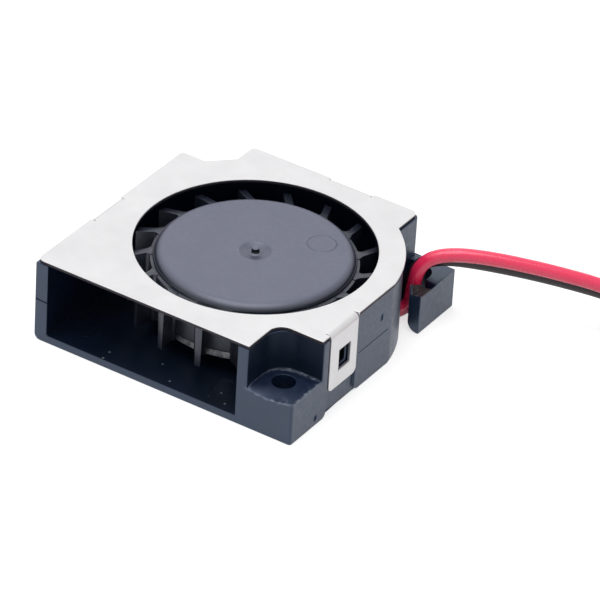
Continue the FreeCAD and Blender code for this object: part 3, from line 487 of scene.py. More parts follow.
@dataclass(frozen=True)
class MouldedPlastic:
    """Matt moulded plastic with a fine grain, blotches, dust and witness marks.

    Depths are metres. Rings are raised lines, given as centre and radius in metres. Grooves are sunk and carry
    painted shade, chalky strokes are pale scuffs, and specks are single grains of dust in millimetres. Above a
    given height, in millimetres, lighter colours take over: painted light, a lit copy of the plastic over a
    shaded one. The depth of grooves is a share of mark_depth.
    """

    name: str
    dark: Colour
    light: Colour
    roughness: float = 0.46
    reach: float = 0.06
    specular: float = 0.8
    tint: Colour = (0.86, 0.91, 1.0)
    grain_depth: float = 0.000006
    mark_depth: float = 0.00004
    dust_share: float = 0.0
    dust_strength: float = 0.75
    dust_colour: Colour = (0.40, 0.43, 0.46)
    shadow: Colour = (0.0015, 0.002, 0.004)
    rings: tuple[tuple[Point, float], ...] = ()
    grooves: tuple[Stroke, ...] = ()
    groove_depth: float = 2.0
    hollow_gain: float = 1.5
    chalky: tuple[Stroke, ...] = ()
    chalk: Colour = (0.16, 0.18, 0.22)
    chalk_grain: tuple[float, float] = (0.35, 0.6)
    chalk_least: float = 0.15
    chalk_roughness: float = 0.25
    specks: tuple[Point, ...] = ()
    speck_size: float = 0.16
    speck_waver: float = 0.12
    # Painted light: from this height up, over a fade, the plastic turns to the two paler colours that follow, as lit
    # from above.
    lit_top_from: float | None = None
    lit_top_fade: float = 0.5
    lit_top_dark: Colour = (0.0, 0.0, 0.0)
    lit_top_light: Colour = (0.0, 0.0, 0.0)

    def make(self, effects: Effects) -> bpy.types.Material:
        """Build the material.

        Args:
            effects: the shared shader groups.

        Returns:
            The material.
        """
        finish = Finish(self.name)
        nodes = finish.nodes
        grain = finish.effect(effects.grain)
        tone = grain.outputs["Tone"]
        colour = self._plain_colour(finish, effects)
        rough = finish.wander(tone, self.roughness, self.reach)
        scuffed = self._strokes(finish, effects, self.chalky)
        if scuffed is not None:
            worn = nodes.limits(tone, *self.chalk_grain, self.chalk_least, 1.0)
            scuffed = nodes.math("MULTIPLY", scuffed, worn)
            colour = nodes.blend(scuffed, colour, self.chalk)
            rough = nodes.math("MULTIPLY_ADD", scuffed, self.chalk_roughness, rough)
        colour = self._dusty(finish, effects, colour)
        normal = finish.bump(grain.outputs["Height"], self.grain_depth)
        raised = nodes.largest([self._ring(finish, effects, centre, radius) for centre, radius in self.rings])
        # Painted shade: the grooves' colour turns to the shadow colour and their faces turn metallic, which darkens
        # them as shade would; their bump sinks them.
        sunk = self._strokes(finish, effects, self.grooves)
        if sunk is not None:
            hollow = nodes.math("MINIMUM", nodes.math("MULTIPLY", sunk, self.hollow_gain), 1.0)
            colour = nodes.blend(hollow, colour, self.shadow)
            nodes.join(hollow, finish.shader.inputs["Metallic"])
            sunk = nodes.math("MULTIPLY", sunk, -self.groove_depth)
            raised = sunk if raised is None else nodes.math("ADD", raised, sunk)
        if raised is not None:
            finish.bump(raised, self.mark_depth, normal)
        finish.dress(colour, rough)
        finish.constants(Specular_IOR_Level=self.specular, Specular_Tint=self.tint)
        return finish.material

    def _plain_colour(self, finish: Finish, effects: Effects) -> object:
        """Blotched colour of the plastic, with painted light from a height on: a paler copy of the colour, as lit.

        Args:
            finish: the material in the making.
            effects: the shared shader groups.

        Returns:
            The colour socket.
        """
        nodes = finish.nodes
        blotch = finish.effect(effects.blotch).outputs["Tone"]
        colour = nodes.blend(blotch, self.dark, self.light)
        if self.lit_top_from is None:
            return colour
        # Painted light: paler colours from the height up, as if the top were lit.
        parts = nodes.add("ShaderNodeSeparateXYZ")
        nodes.join(finish.place, parts.inputs[0])
        full = self.lit_top_from + self.lit_top_fade
        high = nodes.limits(parts.outputs[2], self.lit_top_from * MM, full * MM, 0.0, 1.0)
        return nodes.blend(high, colour, nodes.blend(blotch, self.lit_top_dark, self.lit_top_light))

    def _dusty(self, finish: Finish, effects: Effects, colour: object) -> object:
        """Put single specks and a share of fine dust over a colour.

        Args:
            finish: the material in the making.
            effects: the shared shader groups.
            colour: the clean colour's socket.

        Returns:
            The dusty colour's socket.
        """
        nodes = finish.nodes
        if self.specks:
            spots = tuple(Stroke(spot, spot, self.speck_size, self.speck_waver) for spot in self.specks)
            colour = nodes.blend(self._strokes(finish, effects, spots), colour, self.dust_colour)
        if self.dust_share:
            dust = finish.effect(effects.dust, Share=self.dust_share)
            mask = nodes.math("MULTIPLY", dust.outputs["Mask"], self.dust_strength)
            colour = nodes.blend(mask, colour, self.dust_colour)
        return colour

    @staticmethod
    def _ring(finish: Finish, effects: Effects, centre: Point, radius: float) -> object:
        """Raised round line that an ejector pin left.

        Args:
            finish: the material in the making.
            effects: the shared shader groups.
            centre: its centre in metres.
            radius: its radius in metres.

        Returns:
            The mask socket.
        """
        ring = finish.effect(effects.ring, Radius=radius)
        ring.inputs["Centre"].default_value = centre
        return ring.outputs["Line"]

    @staticmethod
    def _strokes(finish: Finish, effects: Effects, strokes: tuple[Stroke, ...]) -> object:
        """Mask of several strokes.

        Args:
            finish: the material in the making.
            effects: the shared shader groups.
            strokes: the strokes.

        Returns:
            The mask socket, or None if there are no strokes.
        """
        lines = []
        for stroke in strokes:
            node = finish.effect(effects.stroke, Width=stroke.width * MM, Waver=stroke.waver * MM)
            node.inputs["From"].default_value = tuple(value * MM for value in stroke.start)
            node.inputs["To"].default_value = tuple(value * MM for value in stroke.end)
            lines.append(finish.nodes.math("MULTIPLY", node.outputs["Line"], stroke.strength))
        return finish.nodes.largest(lines)


@dataclass(frozen=True)
class SheetMetal:
    """Rolled sheet or drawn steel: bright, with a fine grain along one way.

    Fine, coarse and blotch_scale are noise scales. Faces marked as cut edges take a dark colour, painted shade on
    the sheared edges, and are rougher by edge_roughness.
    """

    name: str
    dark: Colour
    light: Colour
    roughness: float = 0.38
    reach: float = 0.06
    stretch: Point = (1.0, 1.0, 1.0)
    grain_depth: float = 0.000004
    fine: float = 7000.0
    coarse: float = 1500.0
    blotch_scale: float = 220.0
    metallic: float = 1.0
    cut_edge_shade: Colour | None = None
    edge_roughness: float = 0.3

    def make(self, effects: Effects) -> bpy.types.Material:
        """Build the material.

        Args:
            effects: the shared shader groups.

        Returns:
            The material.
        """
        finish = Finish(self.name)
        nodes = finish.nodes
        grain = finish.effect(effects.grain, finish.stretch(self.stretch), Fine=self.fine, Coarse=self.coarse)
        blotch = finish.effect(effects.blotch, Scale=self.blotch_scale)
        share = nodes.math("MULTIPLY_ADD", grain.outputs["Tone"], 0.5,
                           nodes.math("MULTIPLY", blotch.outputs["Tone"], 0.5))
        colour = nodes.blend(share, self.dark, self.light)
        rough = finish.wander(grain.outputs["Tone"], self.roughness, self.reach)
        # Painted shade: the marked cut edges turn dark, and they are also rougher.
        if self.cut_edge_shade is not None:
            edge = nodes.add("ShaderNodeAttribute", attribute_name=CUT_EDGE).outputs["Fac"]
            colour = nodes.blend(edge, colour, self.cut_edge_shade)
            rough = nodes.math("MULTIPLY_ADD", edge, self.edge_roughness, rough)
        finish.dress(colour, rough)
        finish.constants(Metallic=self.metallic)
        finish.bump(grain.outputs["Height"], self.grain_depth)
        return finish.material


@dataclass(frozen=True)
class WireSkin:
    """Soft extruded insulation with a gentle waviness and a low sheen."""

    name: str
    colour: Colour
    deep: Colour
    roughness: float = 0.34
    specular: float = 0.6
    reach: float = 0.06
    fine: float = 4000.0
    coarse: float = 900.0
    blotch_scale: float = 500.0
    blotch_share: float = 0.5
    grain_depth: float = 0.000012

    def make(self, effects: Effects) -> bpy.types.Material:
        """Build the material.

        Args:
            effects: the shared shader groups.

        Returns:
            The material.
        """
        finish = Finish(self.name)
        nodes = finish.nodes
        blotch = finish.effect(effects.blotch, Scale=self.blotch_scale)
        grain = finish.effect(effects.grain, Fine=self.fine, Coarse=self.coarse)
        share = nodes.math("MULTIPLY", blotch.outputs["Tone"], self.blotch_share)
        finish.dress(nodes.blend(share, self.colour, self.deep),
                     finish.wander(grain.outputs["Tone"], self.roughness, self.reach))
        finish.constants(Specular_IOR_Level=self.specular)
        finish.bump(grain.outputs["Height"], self.grain_depth)
        return finish.material


@dataclass(frozen=True)
class InnerPart:
    """Finish of a small part inside the motor: a colour with grain, plain or metallic."""

    name: str
    dark: Colour
    light: Colour
    roughness: float = 0.4
    metallic: float = 0.0
    fine: float = 6000.0
    coarse: float = 1500.0
    stretch: Point = (1.0, 1.0, 1.0)
    depth: float = 0.00001
    reach: float = 0.08

    def make(self, effects: Effects) -> bpy.types.Material:
        """Build the material.

        Args:
            effects: the shared shader groups.

        Returns:
            The material.
        """
        finish = Finish(self.name)
        grain = finish.effect(effects.grain, finish.stretch(self.stretch), Fine=self.fine, Coarse=self.coarse)
        tone = grain.outputs["Tone"]
        finish.dress(finish.nodes.blend(tone, self.dark, self.light), finish.wander(tone, self.roughness, self.reach))
        finish.constants(Metallic=self.metallic)
        finish.bump(grain.outputs["Height"], self.depth)
        return finish.material


# ------------------------------------------------------------------ mesh work


def millimetres(points: tuple[Point, ...] | list[Point]) -> list[Vector]:
    """Points given in millimetres as vectors in metres."""
    return [Vector(spot) * MM for spot in points]


def object_of(name: str, mesh: bpy.types.ID) -> bpy.types.Object:
    """Link a new object at the origin.

    Args:
        name: its name.
        mesh: the mesh, curve, camera or lamp that it shows.

    Returns:
        The object.
    """
    thing = bpy.data.objects.new(name, mesh)
    bpy.context.scene.collection.objects.link(thing)
    return thing


def mesh_object(name: str, bm: bmesh.types.BMesh) -> bpy.types.Object:
    """Write a bmesh into a new object.

    Args:
        name: the piece's name.
        bm: the mesh, which is freed.

    Returns:
        The object.
    """
    mesh = bpy.data.meshes.new(name)
    bm.to_mesh(mesh)
    bm.free()
    return object_of(name, mesh)


def settle(thing: bpy.types.Object) -> bpy.types.Object:
    """Apply every modifier of a piece to a plain mesh.

    Args:
        thing: the piece.

    Returns:
        The same piece with its new mesh.
    """
    graph = bpy.context.evaluated_depsgraph_get()
    mesh = bpy.data.meshes.new_from_object(thing.evaluated_get(graph))
    thing.modifiers.clear()
    thing.data = mesh
    return thing


def soften(bm: bmesh.types.BMesh, width: float, angle: float = 30.0) -> None:
    """Round every sharp edge of a solid by a small width.

    Args:
        bm: the closed mesh.
        width: width of the rounding, in metres.
        angle: the least angle between two faces that counts as sharp, in degrees.
    """
    sharp = [edge for edge in bm.edges if edge.is_manifold and edge.calc_face_angle() > math.radians(angle)]
    bmesh.ops.bevel(bm, geom=sharp, offset=width, offset_type="OFFSET", segments=STRIPS, profile=0.5,
                    affect="EDGES", clamp_overlap=False, miter_outer="SHARP")


def hold_to(bm: bmesh.types.BMesh, tree: BVHTree, reach: float) -> None:
    """Bring back points that a rounding pushed away from the solid that it was cut on.

    Args:
        bm: the rounded mesh.
        tree: the surface of the solid.
        reach: how far a point may be from that surface, in metres.
    """
    for vert in bm.verts:
        near, _, _, away = tree.find_nearest(vert.co)
        if away > reach:
            vert.co = near


def smooth(bm: bmesh.types.BMesh, angle: float = 35.0) -> None:
    """Shade a mesh smooth, except over edges that are still sharp.

    Args:
        bm: the mesh.
        angle: the least angle that stays sharp, in degrees.
    """
    for face in bm.faces:
        face.smooth = True
    for edge in bm.edges:
        edge.smooth = not (edge.is_manifold and edge.calc_face_angle() > math.radians(angle))


def copy_of_node(node: str) -> bmesh.types.BMesh:
    """Merged copy of a CAD node's mesh with its flat faces made whole.

    Args:
        node: the node's name.

    Returns:
        The mesh, ready to be shaped.
    """
    bm = bmesh.new()
    bm.from_mesh(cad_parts[node].data)
    bmesh.ops.remove_doubles(bm, verts=bm.verts, dist=MERGE)
    bmesh.ops.dissolve_degenerate(bm, edges=bm.edges, dist=MERGE)
    bmesh.ops.dissolve_limit(bm, angle_limit=math.radians(FLAT), verts=bm.verts, edges=bm.edges)
    return bm


def weighted(thing: bpy.types.Object) -> bpy.types.Object:
    """Let a piece's big flat faces keep their own normals.

    Args:
        thing: the piece.

    Returns:
        The same piece.
    """
    modifier = thing.modifiers.new("weighted_normals", "WEIGHTED_NORMAL")
    modifier.keep_sharp = True
    modifier.weight = 100
    return thing


def softened(bm: bmesh.types.BMesh, name: str, width: float) -> bpy.types.Object:
    """Round the edges of a solid, keep it inside its own box and shade it.

    Args:
        bm: the closed mesh.
        name: the piece's name.
        width: width of the rounding, in metres.

    Returns:
        The piece.
    """
    tree = BVHTree.FromBMesh(bm)
    low, high = ([limit(vert.co[axis] for vert in bm.verts) for axis in range(3)] for limit in (min, max))
    soften(bm, width)
    hold_to(bm, tree, width * HOLD)
    for vert in bm.verts:
        vert.co = [min(max(vert.co[axis], low[axis]), high[axis]) for axis in range(3)]
    bmesh.ops.dissolve_degenerate(bm, edges=bm.edges, dist=FINE_MERGE)
    smooth(bm)
    return weighted(mesh_object(name, bm))


def softened_copy(node: str, name: str, width: float) -> bpy.types.Object:
    """Copy a CAD node, round its edges and shade it.

    Args:
        node: the node that the piece stands for.
        name: the piece's name.
        width: width of the rounding, in metres.

    Returns:
        The piece.
    """
    return softened(copy_of_node(node), name, width)


def spin_profile(profile: list[tuple[float, float]], steps: int) -> bmesh.types.BMesh:
    """Turn a profile of radius and height in millimetres about the rotor's axis.

    Args:
        profile: the points, from the axis out and back, open or closed.
        steps: how many steps a turn has.

    Returns:
        The mesh, closed where the profile meets the axis.
    """
    bm = bmesh.new()
    rings = []
    for radius, height in profile:
        if radius < 1e-6:
            rings.append([bm.verts.new((AXIS[0] * MM, AXIS[1] * MM, height * MM))])
            continue
        ring = []
        for step in range(steps):
            turn = 2 * math.pi * step / steps
            ring.append(bm.verts.new(((AXIS[0] + radius * math.cos(turn)) * MM,
                                      (AXIS[1] + radius * math.sin(turn)) * MM, height * MM)))
        rings.append(ring)
    for low, high in zip(rings, rings[1:]):
        for step in range(steps):
            after = (step + 1) % steps
            corners = [low[step % len(low)], low[after % len(low)], high[after % len(high)], high[step % len(high)]]
            unique = list(dict.fromkeys(corners))
            if len(unique) > 2:
                bm.faces.new(unique)
    bmesh.ops.recalc_face_normals(bm, faces=bm.faces)
    return bm


def arc_points(centre: tuple[float, float], radius: float, start: float, end: float,
               steps: int) -> list[tuple[float, float]]:
    """Points on an arc of a profile.

    Args:
        centre: its centre, as radius and height.
        radius: its radius.
        start: angle of its start in degrees.
        end: angle of its end in degrees.
        steps: how many runs it has.

    Returns:
        The points, both ends included.
    """
    points = []
    for step in range(steps + 1):
        turn = math.radians(start + (end - start) * step / steps)
        points.append((centre[0] + radius * math.cos(turn), centre[1] + radius * math.sin(turn)))
    return points


def place(thing: bpy.types.Object, body: Body, material: bpy.types.Material, slot: str, *nodes: str) -> None:
    """Give a piece its body, its finish and the nodes that it stands for.

    Args:
        thing: the piece.
        body: the body that it moves with.
        material: its finish.
        slot: the record's material slot; not used.
        *nodes: the CAD nodes that it replaces.
    """
    if material.name not in thing.data.materials:
        thing.data.materials.clear()
        thing.data.materials.append(material)
    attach(thing, body.value)
    if nodes:
        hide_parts(*nodes)
    LOG.info("%s rides on %s and stands for %s", thing.name, body.value, ", ".join(nodes) or "nothing")


# ------------------------------------------------------------- sub-assemblies


@dataclass(frozen=True)
class SoftBox:
    """Square soft lamp: its stand and aim are in millimetres, its side in metres and its power in watts."""

    name: str
    stand: Point
    side: float
    power: float
    aim: Point = (0.0, 0.0, 5.0)

    def hang(self) -> None:
        """Make the lamp and turn it to its aim."""
        data = bpy.data.lights.new(self.name, "AREA")
        data.size = self.side
        data.energy = self.power
        lamp = object_of(self.name, data)
        lamp.location = Vector(self.stand) * MM
        lamp.rotation_euler = (Vector(self.aim) - Vector(self.stand)).to_track_quat("-Z", "Y").to_euler()


@dataclass
class Studio:
    """Camera, floor, lamps and world. Angles are degrees and places millimetres.

    One lamp hangs over the fan, and a low one stands behind it, which the upward faces mirror.
    """

    azimuth: float = 31.469
    elevation: float = 33.556
    roll: float = 3.521
    distance: float = 595.03
    aim: Point = (4.183, 4.476, 2.463)
    focal: float = 311.19
    sensor: float = 36.0
    world_light: float = 0.48
    floor_glow: float = 0.65
    floor_tone: float = 0.62
    floor_gap: float = 0.01
    boxes: tuple[SoftBox, ...] = (
        SoftBox("overhead_box", (-30.0, -60.0, 420.0), 0.35, 1.05),
        SoftBox("back_box", (-261.0, 426.0, 332.0), 0.4, 0.17))

    def build(self) -> None:
        """Make everything that isn't the fan."""
        self.camera()
        self.world()
        self.floor()
        for box in self.boxes:
            box.hang()

    def camera(self) -> None:
        """Camera at the photograph's viewing angle."""
        data = bpy.data.cameras.new("camera")
        data.sensor_width = self.sensor
        data.lens = self.focal
        data.clip_start = 0.01
        data.clip_end = 10.0
        camera = object_of("camera", data)
        around, above = math.radians(self.azimuth), math.radians(self.elevation)
        back = Vector((math.sin(around) * math.cos(above), -math.cos(around) * math.cos(above), math.sin(above)))
        turn = (-back).to_track_quat("-Z", "Y").to_matrix() @ Matrix.Rotation(math.radians(self.roll), 3, "Z")
        camera.matrix_world = Matrix.Translation((Vector(self.aim) + back * self.distance) * MM) @ turn.to_4x4()
        bpy.context.scene.camera = camera

    @staticmethod
    def _seen_rays(nodes: Nodes) -> object:
        """Mask of the rays that see the white surroundings: camera, glossy and transmission.

        Args:
            nodes: the tree that needs it.

        Returns:
            The mask's socket.
        """
        path = nodes.add("ShaderNodeLightPath")
        both = nodes.math("ADD", path.outputs["Is Camera Ray"], path.outputs["Is Glossy Ray"])
        every = nodes.math("ADD", both, path.outputs["Is Transmission Ray"])
        return nodes.math("MINIMUM", every, 1.0)

    def world(self) -> None:
        """White surroundings that light the fan softly."""
        world = bpy.data.worlds.new("soft_room")
        world.use_nodes = True
        bpy.context.scene.world = world
        nodes = Nodes(world.node_tree)
        background = world.node_tree.nodes["Background"]
        background.inputs["Color"].default_value = (1.0, 1.0, 1.0, 1.0)
        strength = nodes.limits(self._seen_rays(nodes), 0.0, 1.0, self.world_light, 1.0)
        nodes.join(strength, background.inputs["Strength"])

    def floor(self) -> None:
        """Pale floor just under the fan, which still takes its shadow."""
        bm = bmesh.new()
        bmesh.ops.create_grid(bm, x_segments=1, y_segments=1, size=3.0)
        floor = mesh_object("studio_floor", bm)
        floor.location.z = -self.floor_gap * MM
        material = bpy.data.materials.new("pale_floor")
        material.use_nodes = True
        nodes = Nodes(material.node_tree)
        shader = material.node_tree.nodes["Principled BSDF"]
        shader.inputs["Base Color"].default_value = (self.floor_tone,) * 3 + (1.0,)
        shader.inputs["Roughness"].default_value = 1.0
        shader.inputs["Specular IOR Level"].default_value = 0.0
        shader.inputs["Emission Color"].default_value = (1.0, 1.0, 1.0, 1.0)
        nodes.join(nodes.math("MULTIPLY", self._seen_rays(nodes), self.floor_glow), shader.inputs["Emission Strength"])
        floor.data.materials.append(material)


@dataclass(frozen=True)
class TabPlace:
    """Where a tab of the cover stands: turn of its side in degrees, and place and widths in millimetres."""

    turn: float
    along: float
    window_shift: float = 0.25
    window_half: float = 1.025
    sheet_half: float = 2.8

    def local(self, where: Vector) -> Vector:
        """A point in metres as seen from the tab: x outwards, y along the side from the tab's middle."""
        seen = Matrix.Rotation(math.radians(-self.turn), 3, "Z") @ where / MM
        return seen - Vector((0.0, self.along, 0.0))


TABS = (TabPlace(0.0, -7.2), TabPlace(90.0, -2.5), TabPlace(180.0, 4.0))
EJECTOR_RINGS = (((-0.0128, -0.0133, 0.001), 0.0017), ((0.0062, -0.0138, 0.001), 0.00145))
FLOOR_SPECKS = (
    (-8.2, -15.8, 1.0), (-8.1, -17.2, 1.0), (-2.05, -14.1, 1.0), (0.5, -16.4, 1.0), (0.9, -12.0, 1.0),
    (6.4, -14.8, 1.0), (7.9, -16.3, 1.0))


@dataclass
class CaseMoulding:
    """The case: one plastic moulding with soft edges and the marks of its mould.

    Sizes are millimetres, apart from edge, which is the width of the rounded edges in metres. The arm is the
    hook's, given by its two sides and its front end, and the lip is the part of its front that comes down. The
    seat is the torn top of the arm. From hook_corner to flush, the fields bound the faces that take painted
    shade: the scroll's inside and the walls over the ears.
    """

    edge: float = 0.00012
    corner: float = 0.35
    lug_out: float = 16.9
    lug_band: tuple[float, float] = (4.9, 8.0)
    socket_depth: float = 0.9
    socket_rim: float = 0.2
    arm: tuple[float, float] = (15.35, 16.9)
    arm_front: float = 10.0
    lip_across: tuple[float, float] = (0.05, 0.5)
    lip_along: tuple[float, float] = (0.01, 0.46)
    lip_low: float = 5.05
    spike_width: float = 0.35
    rim_slope: float = 0.12
    seat_low: float = 4.95
    seat_high: float = 6.2
    seat_foot: float = 3.3
    seat_length: float = 2.54
    seat_level: float = 0.85
    seat_fall: float = 2.2
    seat_rough: tuple[float, float] = (0.08, 0.05)
    seat_steps: tuple[int, int] = (14, 20)
    seat_pitch: float = 0.15
    seat_spread: float = 1.4
    seat_drop: float = 0.02
    hook_corner: tuple[float, float] = (8.0, 6.0)
    hook_away: float = 15.3
    floor_band: tuple[float, float] = (0.9, 1.4)
    mouth: float = -17.45
    ear_side: float = 10.5
    ear_top: float = 5.3
    flush: float = 17.4
    plastic: MouldedPlastic = MouldedPlastic(
        name="case_plastic", dark=(0.002, 0.007, 0.025), light=(0.005, 0.012, 0.037),
        roughness=0.38, specular=1.0, tint=(0.63, 0.77, 1.0), grain_depth=0.00001, dust_share=0.05,
        rings=EJECTOR_RINGS, specks=FLOOR_SPECKS,
        # Grooves: the first paints shade alone over the socket behind the tab on the right side; the others are lines
        # and spots, sunk by a bump and darkened with painted shade.
        grooves=(
            Stroke((15.9, -6.95, 5.6), (15.9, -6.95, 7.3), 1.3),
            Stroke((-17.5, -17.5, 5.5), (-15.8, -17.5, 5.4), 0.12),
            Stroke((17.25, -3.6, 4.95), (17.25, 2.5, 4.95), 0.1, 0.0, 0.7),
            Stroke((17.25, 1.0, 7.1), (17.25, 1.0, 7.5), 0.34, 0.3),
            Stroke((17.5, -12.6, 0.95), (17.5, -12.5, 1.15), 0.42, 0.3)),
        chalky=(
            Stroke((11.3, -15.9, 5.35), (11.4, -14.3, 5.35), 0.28, 0.5, 0.8),
            Stroke((11.4, -14.3, 5.35), (11.6, -13.4, 5.35), 0.28, 0.5),
            Stroke((11.6, -13.4, 5.35), (12.2, -12.5, 5.35), 0.30, 0.5),
            Stroke((12.2, -12.5, 5.35), (13.4, -11.8, 5.35), 0.34, 0.5),
            Stroke((13.4, -11.8, 5.35), (14.9, -11.6, 5.35), 0.34, 0.5),
            Stroke((14.9, -11.6, 5.35), (17.1, -11.8, 5.35), 0.30, 0.6),
            Stroke((11.2, -17.5, 5.2), (13.8, -17.5, 4.85), 0.2, 0.5, 0.7),
            Stroke((13.8, -17.5, 4.85), (17.4, -17.5, 5.35), 0.24, 0.5, 0.8),
            Stroke((17.5, -17.4, 5.4), (17.5, -12.0, 5.4), 0.28, 0.5, 0.8),
            Stroke((12.2, -14.8, 4.9), (13.2, -17.3, 4.8), 0.2, 0.7, 0.35),
            Stroke((15.6, -12.9, 4.95), (17.3, -13.6, 5.3), 0.2, 0.7, 0.4),
            Stroke((15.2, -15.6, 4.8), (16.6, -17.2, 5.2), 0.35, 0.9, 0.3),
            Stroke((15.5, 10.2, 5.1), (16.4, 11.6, 5.0), 0.7, 0.9, 0.45)),
        chalk=(0.24, 0.27, 0.33))
    torn: MouldedPlastic = MouldedPlastic(
        name="torn_plastic", dark=(0.003, 0.002, 0.003), light=(0.022, 0.017, 0.020), roughness=0.6, specular=0.5,
        tint=(1.0, 0.95, 0.97), grain_depth=0.00003, dust_share=0.3, dust_colour=(0.11, 0.095, 0.11))
    # Painted shade: a darker, less glossy copy of the case plastic for the scroll's inside and the walls over the
    # ears, where shade falls.
    inside: MouldedPlastic = MouldedPlastic(
        name="inner_plastic_painted_shade", dark=(0.001, 0.004, 0.011), light=(0.002, 0.006, 0.019), roughness=0.45, specular=0.36,
        tint=(0.63, 0.77, 1.0), grain_depth=0.00001, dust_share=0.07, rings=EJECTOR_RINGS, specks=FLOOR_SPECKS)
    # Painted shade: a near-black, dull finish for the sockets behind the tab windows, standing in for the shade inside
    # them.
    socket: MouldedPlastic = MouldedPlastic(
        name="socket_painted_shade", dark=(0.001, 0.002, 0.004), light=(0.002, 0.003, 0.006), roughness=0.6, specular=0.15)

    def build(self, effects: Effects) -> None:
        """Make the moulding.

        Args:
            effects: the shared shader groups.
        """
        bm = copy_of_node("housing")
        for tab in TABS:
            self.sink_lug(bm, tab)
        self.ease_corners(bm)
        self.dip_lip(bm)
        case = softened(bm, "case_moulding", self.edge)
        plastic = self.plastic.make(effects)
        case.data.materials.append(plastic)
        case.data.materials.append(self.socket.make(effects))
        case.data.materials.append(self.inside.make(effects))
        # Faces inside the scroll and on the walls over the ears take the painted shade.
        for face in case.data.polygons:
            outside = face.material_index == CaseFinish.OUTSIDE.value
            if outside and self.is_shaded_inside(face.center / MM, face.normal):
                face.material_index = CaseFinish.INSIDE.value
        place(case, Body.CASE, plastic, "case_plastic", "housing")
        place(self.hook_seat(), Body.CASE, self.torn.make(effects), "case_plastic")

    def is_shaded_inside(self, spot: Vector, normal: Vector) -> bool:
        """Tell if a face of the case lies in the scroll or on the wall over an ear, which take painted shade.

        Args:
            spot: its middle in millimetres.
            normal: its normal.

        Returns:
            True if it does.
        """
        away = Vector((spot.x - AXIS[0], spot.y - AXIS[1]))
        outwards = away.x * normal.x + away.y * normal.y
        upright = abs(normal.z) < UPRIGHT
        by_hook = spot.x > self.hook_corner[0] and spot.y > self.hook_corner[1] and away.length > self.hook_away
        floor = normal.z > LEVEL and self.floor_band[0] < spot.z < self.floor_band[1]
        wall = upright and outwards < -FACING and spot.z > self.floor_band[0]
        if (floor or wall) and spot.y > self.mouth and not by_hook:
            return True
        in_corner = min(abs(spot.x), abs(spot.y)) > self.ear_side and spot.x * spot.y < 0.0
        flush = max(abs(spot.x), abs(spot.y)) > self.flush
        return in_corner and spot.z > self.ear_top and not flush and upright and outwards > FACING

    def spike(self, x: float) -> float:
        """Share of the rim's steep inner point that is left at a place across the arm."""
        return max(0.0, 1.0 - (x - self.arm[0]) / self.spike_width) ** 1.5

    def rim(self, x: float) -> float:
        """Height of the hook's broken-off front rim at a place across the arm, in millimetres."""
        slope = max(0.0, x - self.arm[0] - self.spike_width) * self.rim_slope
        return self.seat_low + slope + (self.seat_high - self.seat_low) * self.spike(x)

    def dip_lip(self, bm: bmesh.types.BMesh) -> None:
        """Bring the lip at the hook's front end down to its steep inner point and its low rim.

        Args:
            bm: the case.
        """
        for vert in bm.verts:
            x, y, z = vert.co / MM
            across = self.arm[0] - self.lip_across[0] < x < self.arm[1] - self.lip_across[1]
            along = self.arm_front - self.lip_along[0] < y < self.arm_front + self.lip_along[1]
            if across and along and z > self.lip_low:
                vert.co.z = self.rim(x) * MM

    def seat_height(self, x: float, y: float) -> float:
        """Height of the hook's torn seat: level behind the rim, steep at its back, and rough all over.

        Args:
            x: place across the arm, in millimetres.
            y: place along the arm, in millimetres.

        Returns:
            The height in millimetres.
        """
        back = (y - self.arm_front) / self.seat_length
        height = self.rim(x) - (self.seat_high - self.seat_low) * min(1.0, back) * self.spike(x)
        height -= max(0.0, back - self.seat_level) * self.seat_fall
        coarse = self.seat_rough[0] * math.sin(9.0 * x + 4.0 * y) * math.sin(7.0 * y)
        fine = self.seat_rough[1] * math.sin(23.0 * x) * math.cos(17.0 * y)
        return height + (coarse + fine) - self.seat_drop

    def hook_seat(self) -> bpy.types.Object:
        """Rough hollow seat on top of the hook's arm, behind its front rim, that the leads bend past.

        Returns:
            The piece, closed at the foot.
        """
        bm = bmesh.new()
        steps, rows = self.seat_steps
        left, width = self.arm[0] + 0.01, self.arm[1] - self.arm[0] - 0.03
        across = [left + width * (step / steps) ** self.seat_spread for step in range(steps + 1)]
        along = [self.arm_front + 0.03 + self.seat_pitch * row for row in range(rows + 1)]
        grid = [[bm.verts.new((x * MM, y * MM, self.seat_height(x, y) * MM)) for x in across] for y in along]
        for near, far in zip(grid, grid[1:]):
            for index in range(len(across) - 1):
                bm.faces.new((near[index], near[index + 1], far[index + 1], far[index]))
        foot = bmesh.ops.extrude_edge_only(bm, edges=[edge for edge in bm.edges if edge.is_boundary])["geom"]
        for thing in foot:
            if isinstance(thing, bmesh.types.BMVert):
                thing.co.z = self.seat_foot * MM
        bmesh.ops.contextual_create(bm, geom=[edge for edge in bm.edges if edge.is_boundary])
        bmesh.ops.recalc_face_normals(bm, faces=bm.faces)
        smooth(bm, ROUND_ANGLE)
        return mesh_object("hook_seat", bm)

    def ease_corners(self, bm: bmesh.types.BMesh) -> None:
        """Round the upright outer corner of each ear, which is softer than the other edges.

        Args:
            bm: the case.
        """
        corners = []
        for edge in bm.edges:
            low, high = (vert.co / MM for vert in edge.verts)
            if all(abs(abs(spot.x) - HALF_SIDE) < CLOSE and abs(spot.x + spot.y) < CLOSE for spot in (low, high)):
                corners.append(edge)
        LOG.info("%d upright ear corners are eased", len(corners))
        bmesh.ops.bevel(bm, geom=corners, offset=self.corner * MM, offset_type="OFFSET", segments=4, profile=0.5,
                        affect="EDGES")

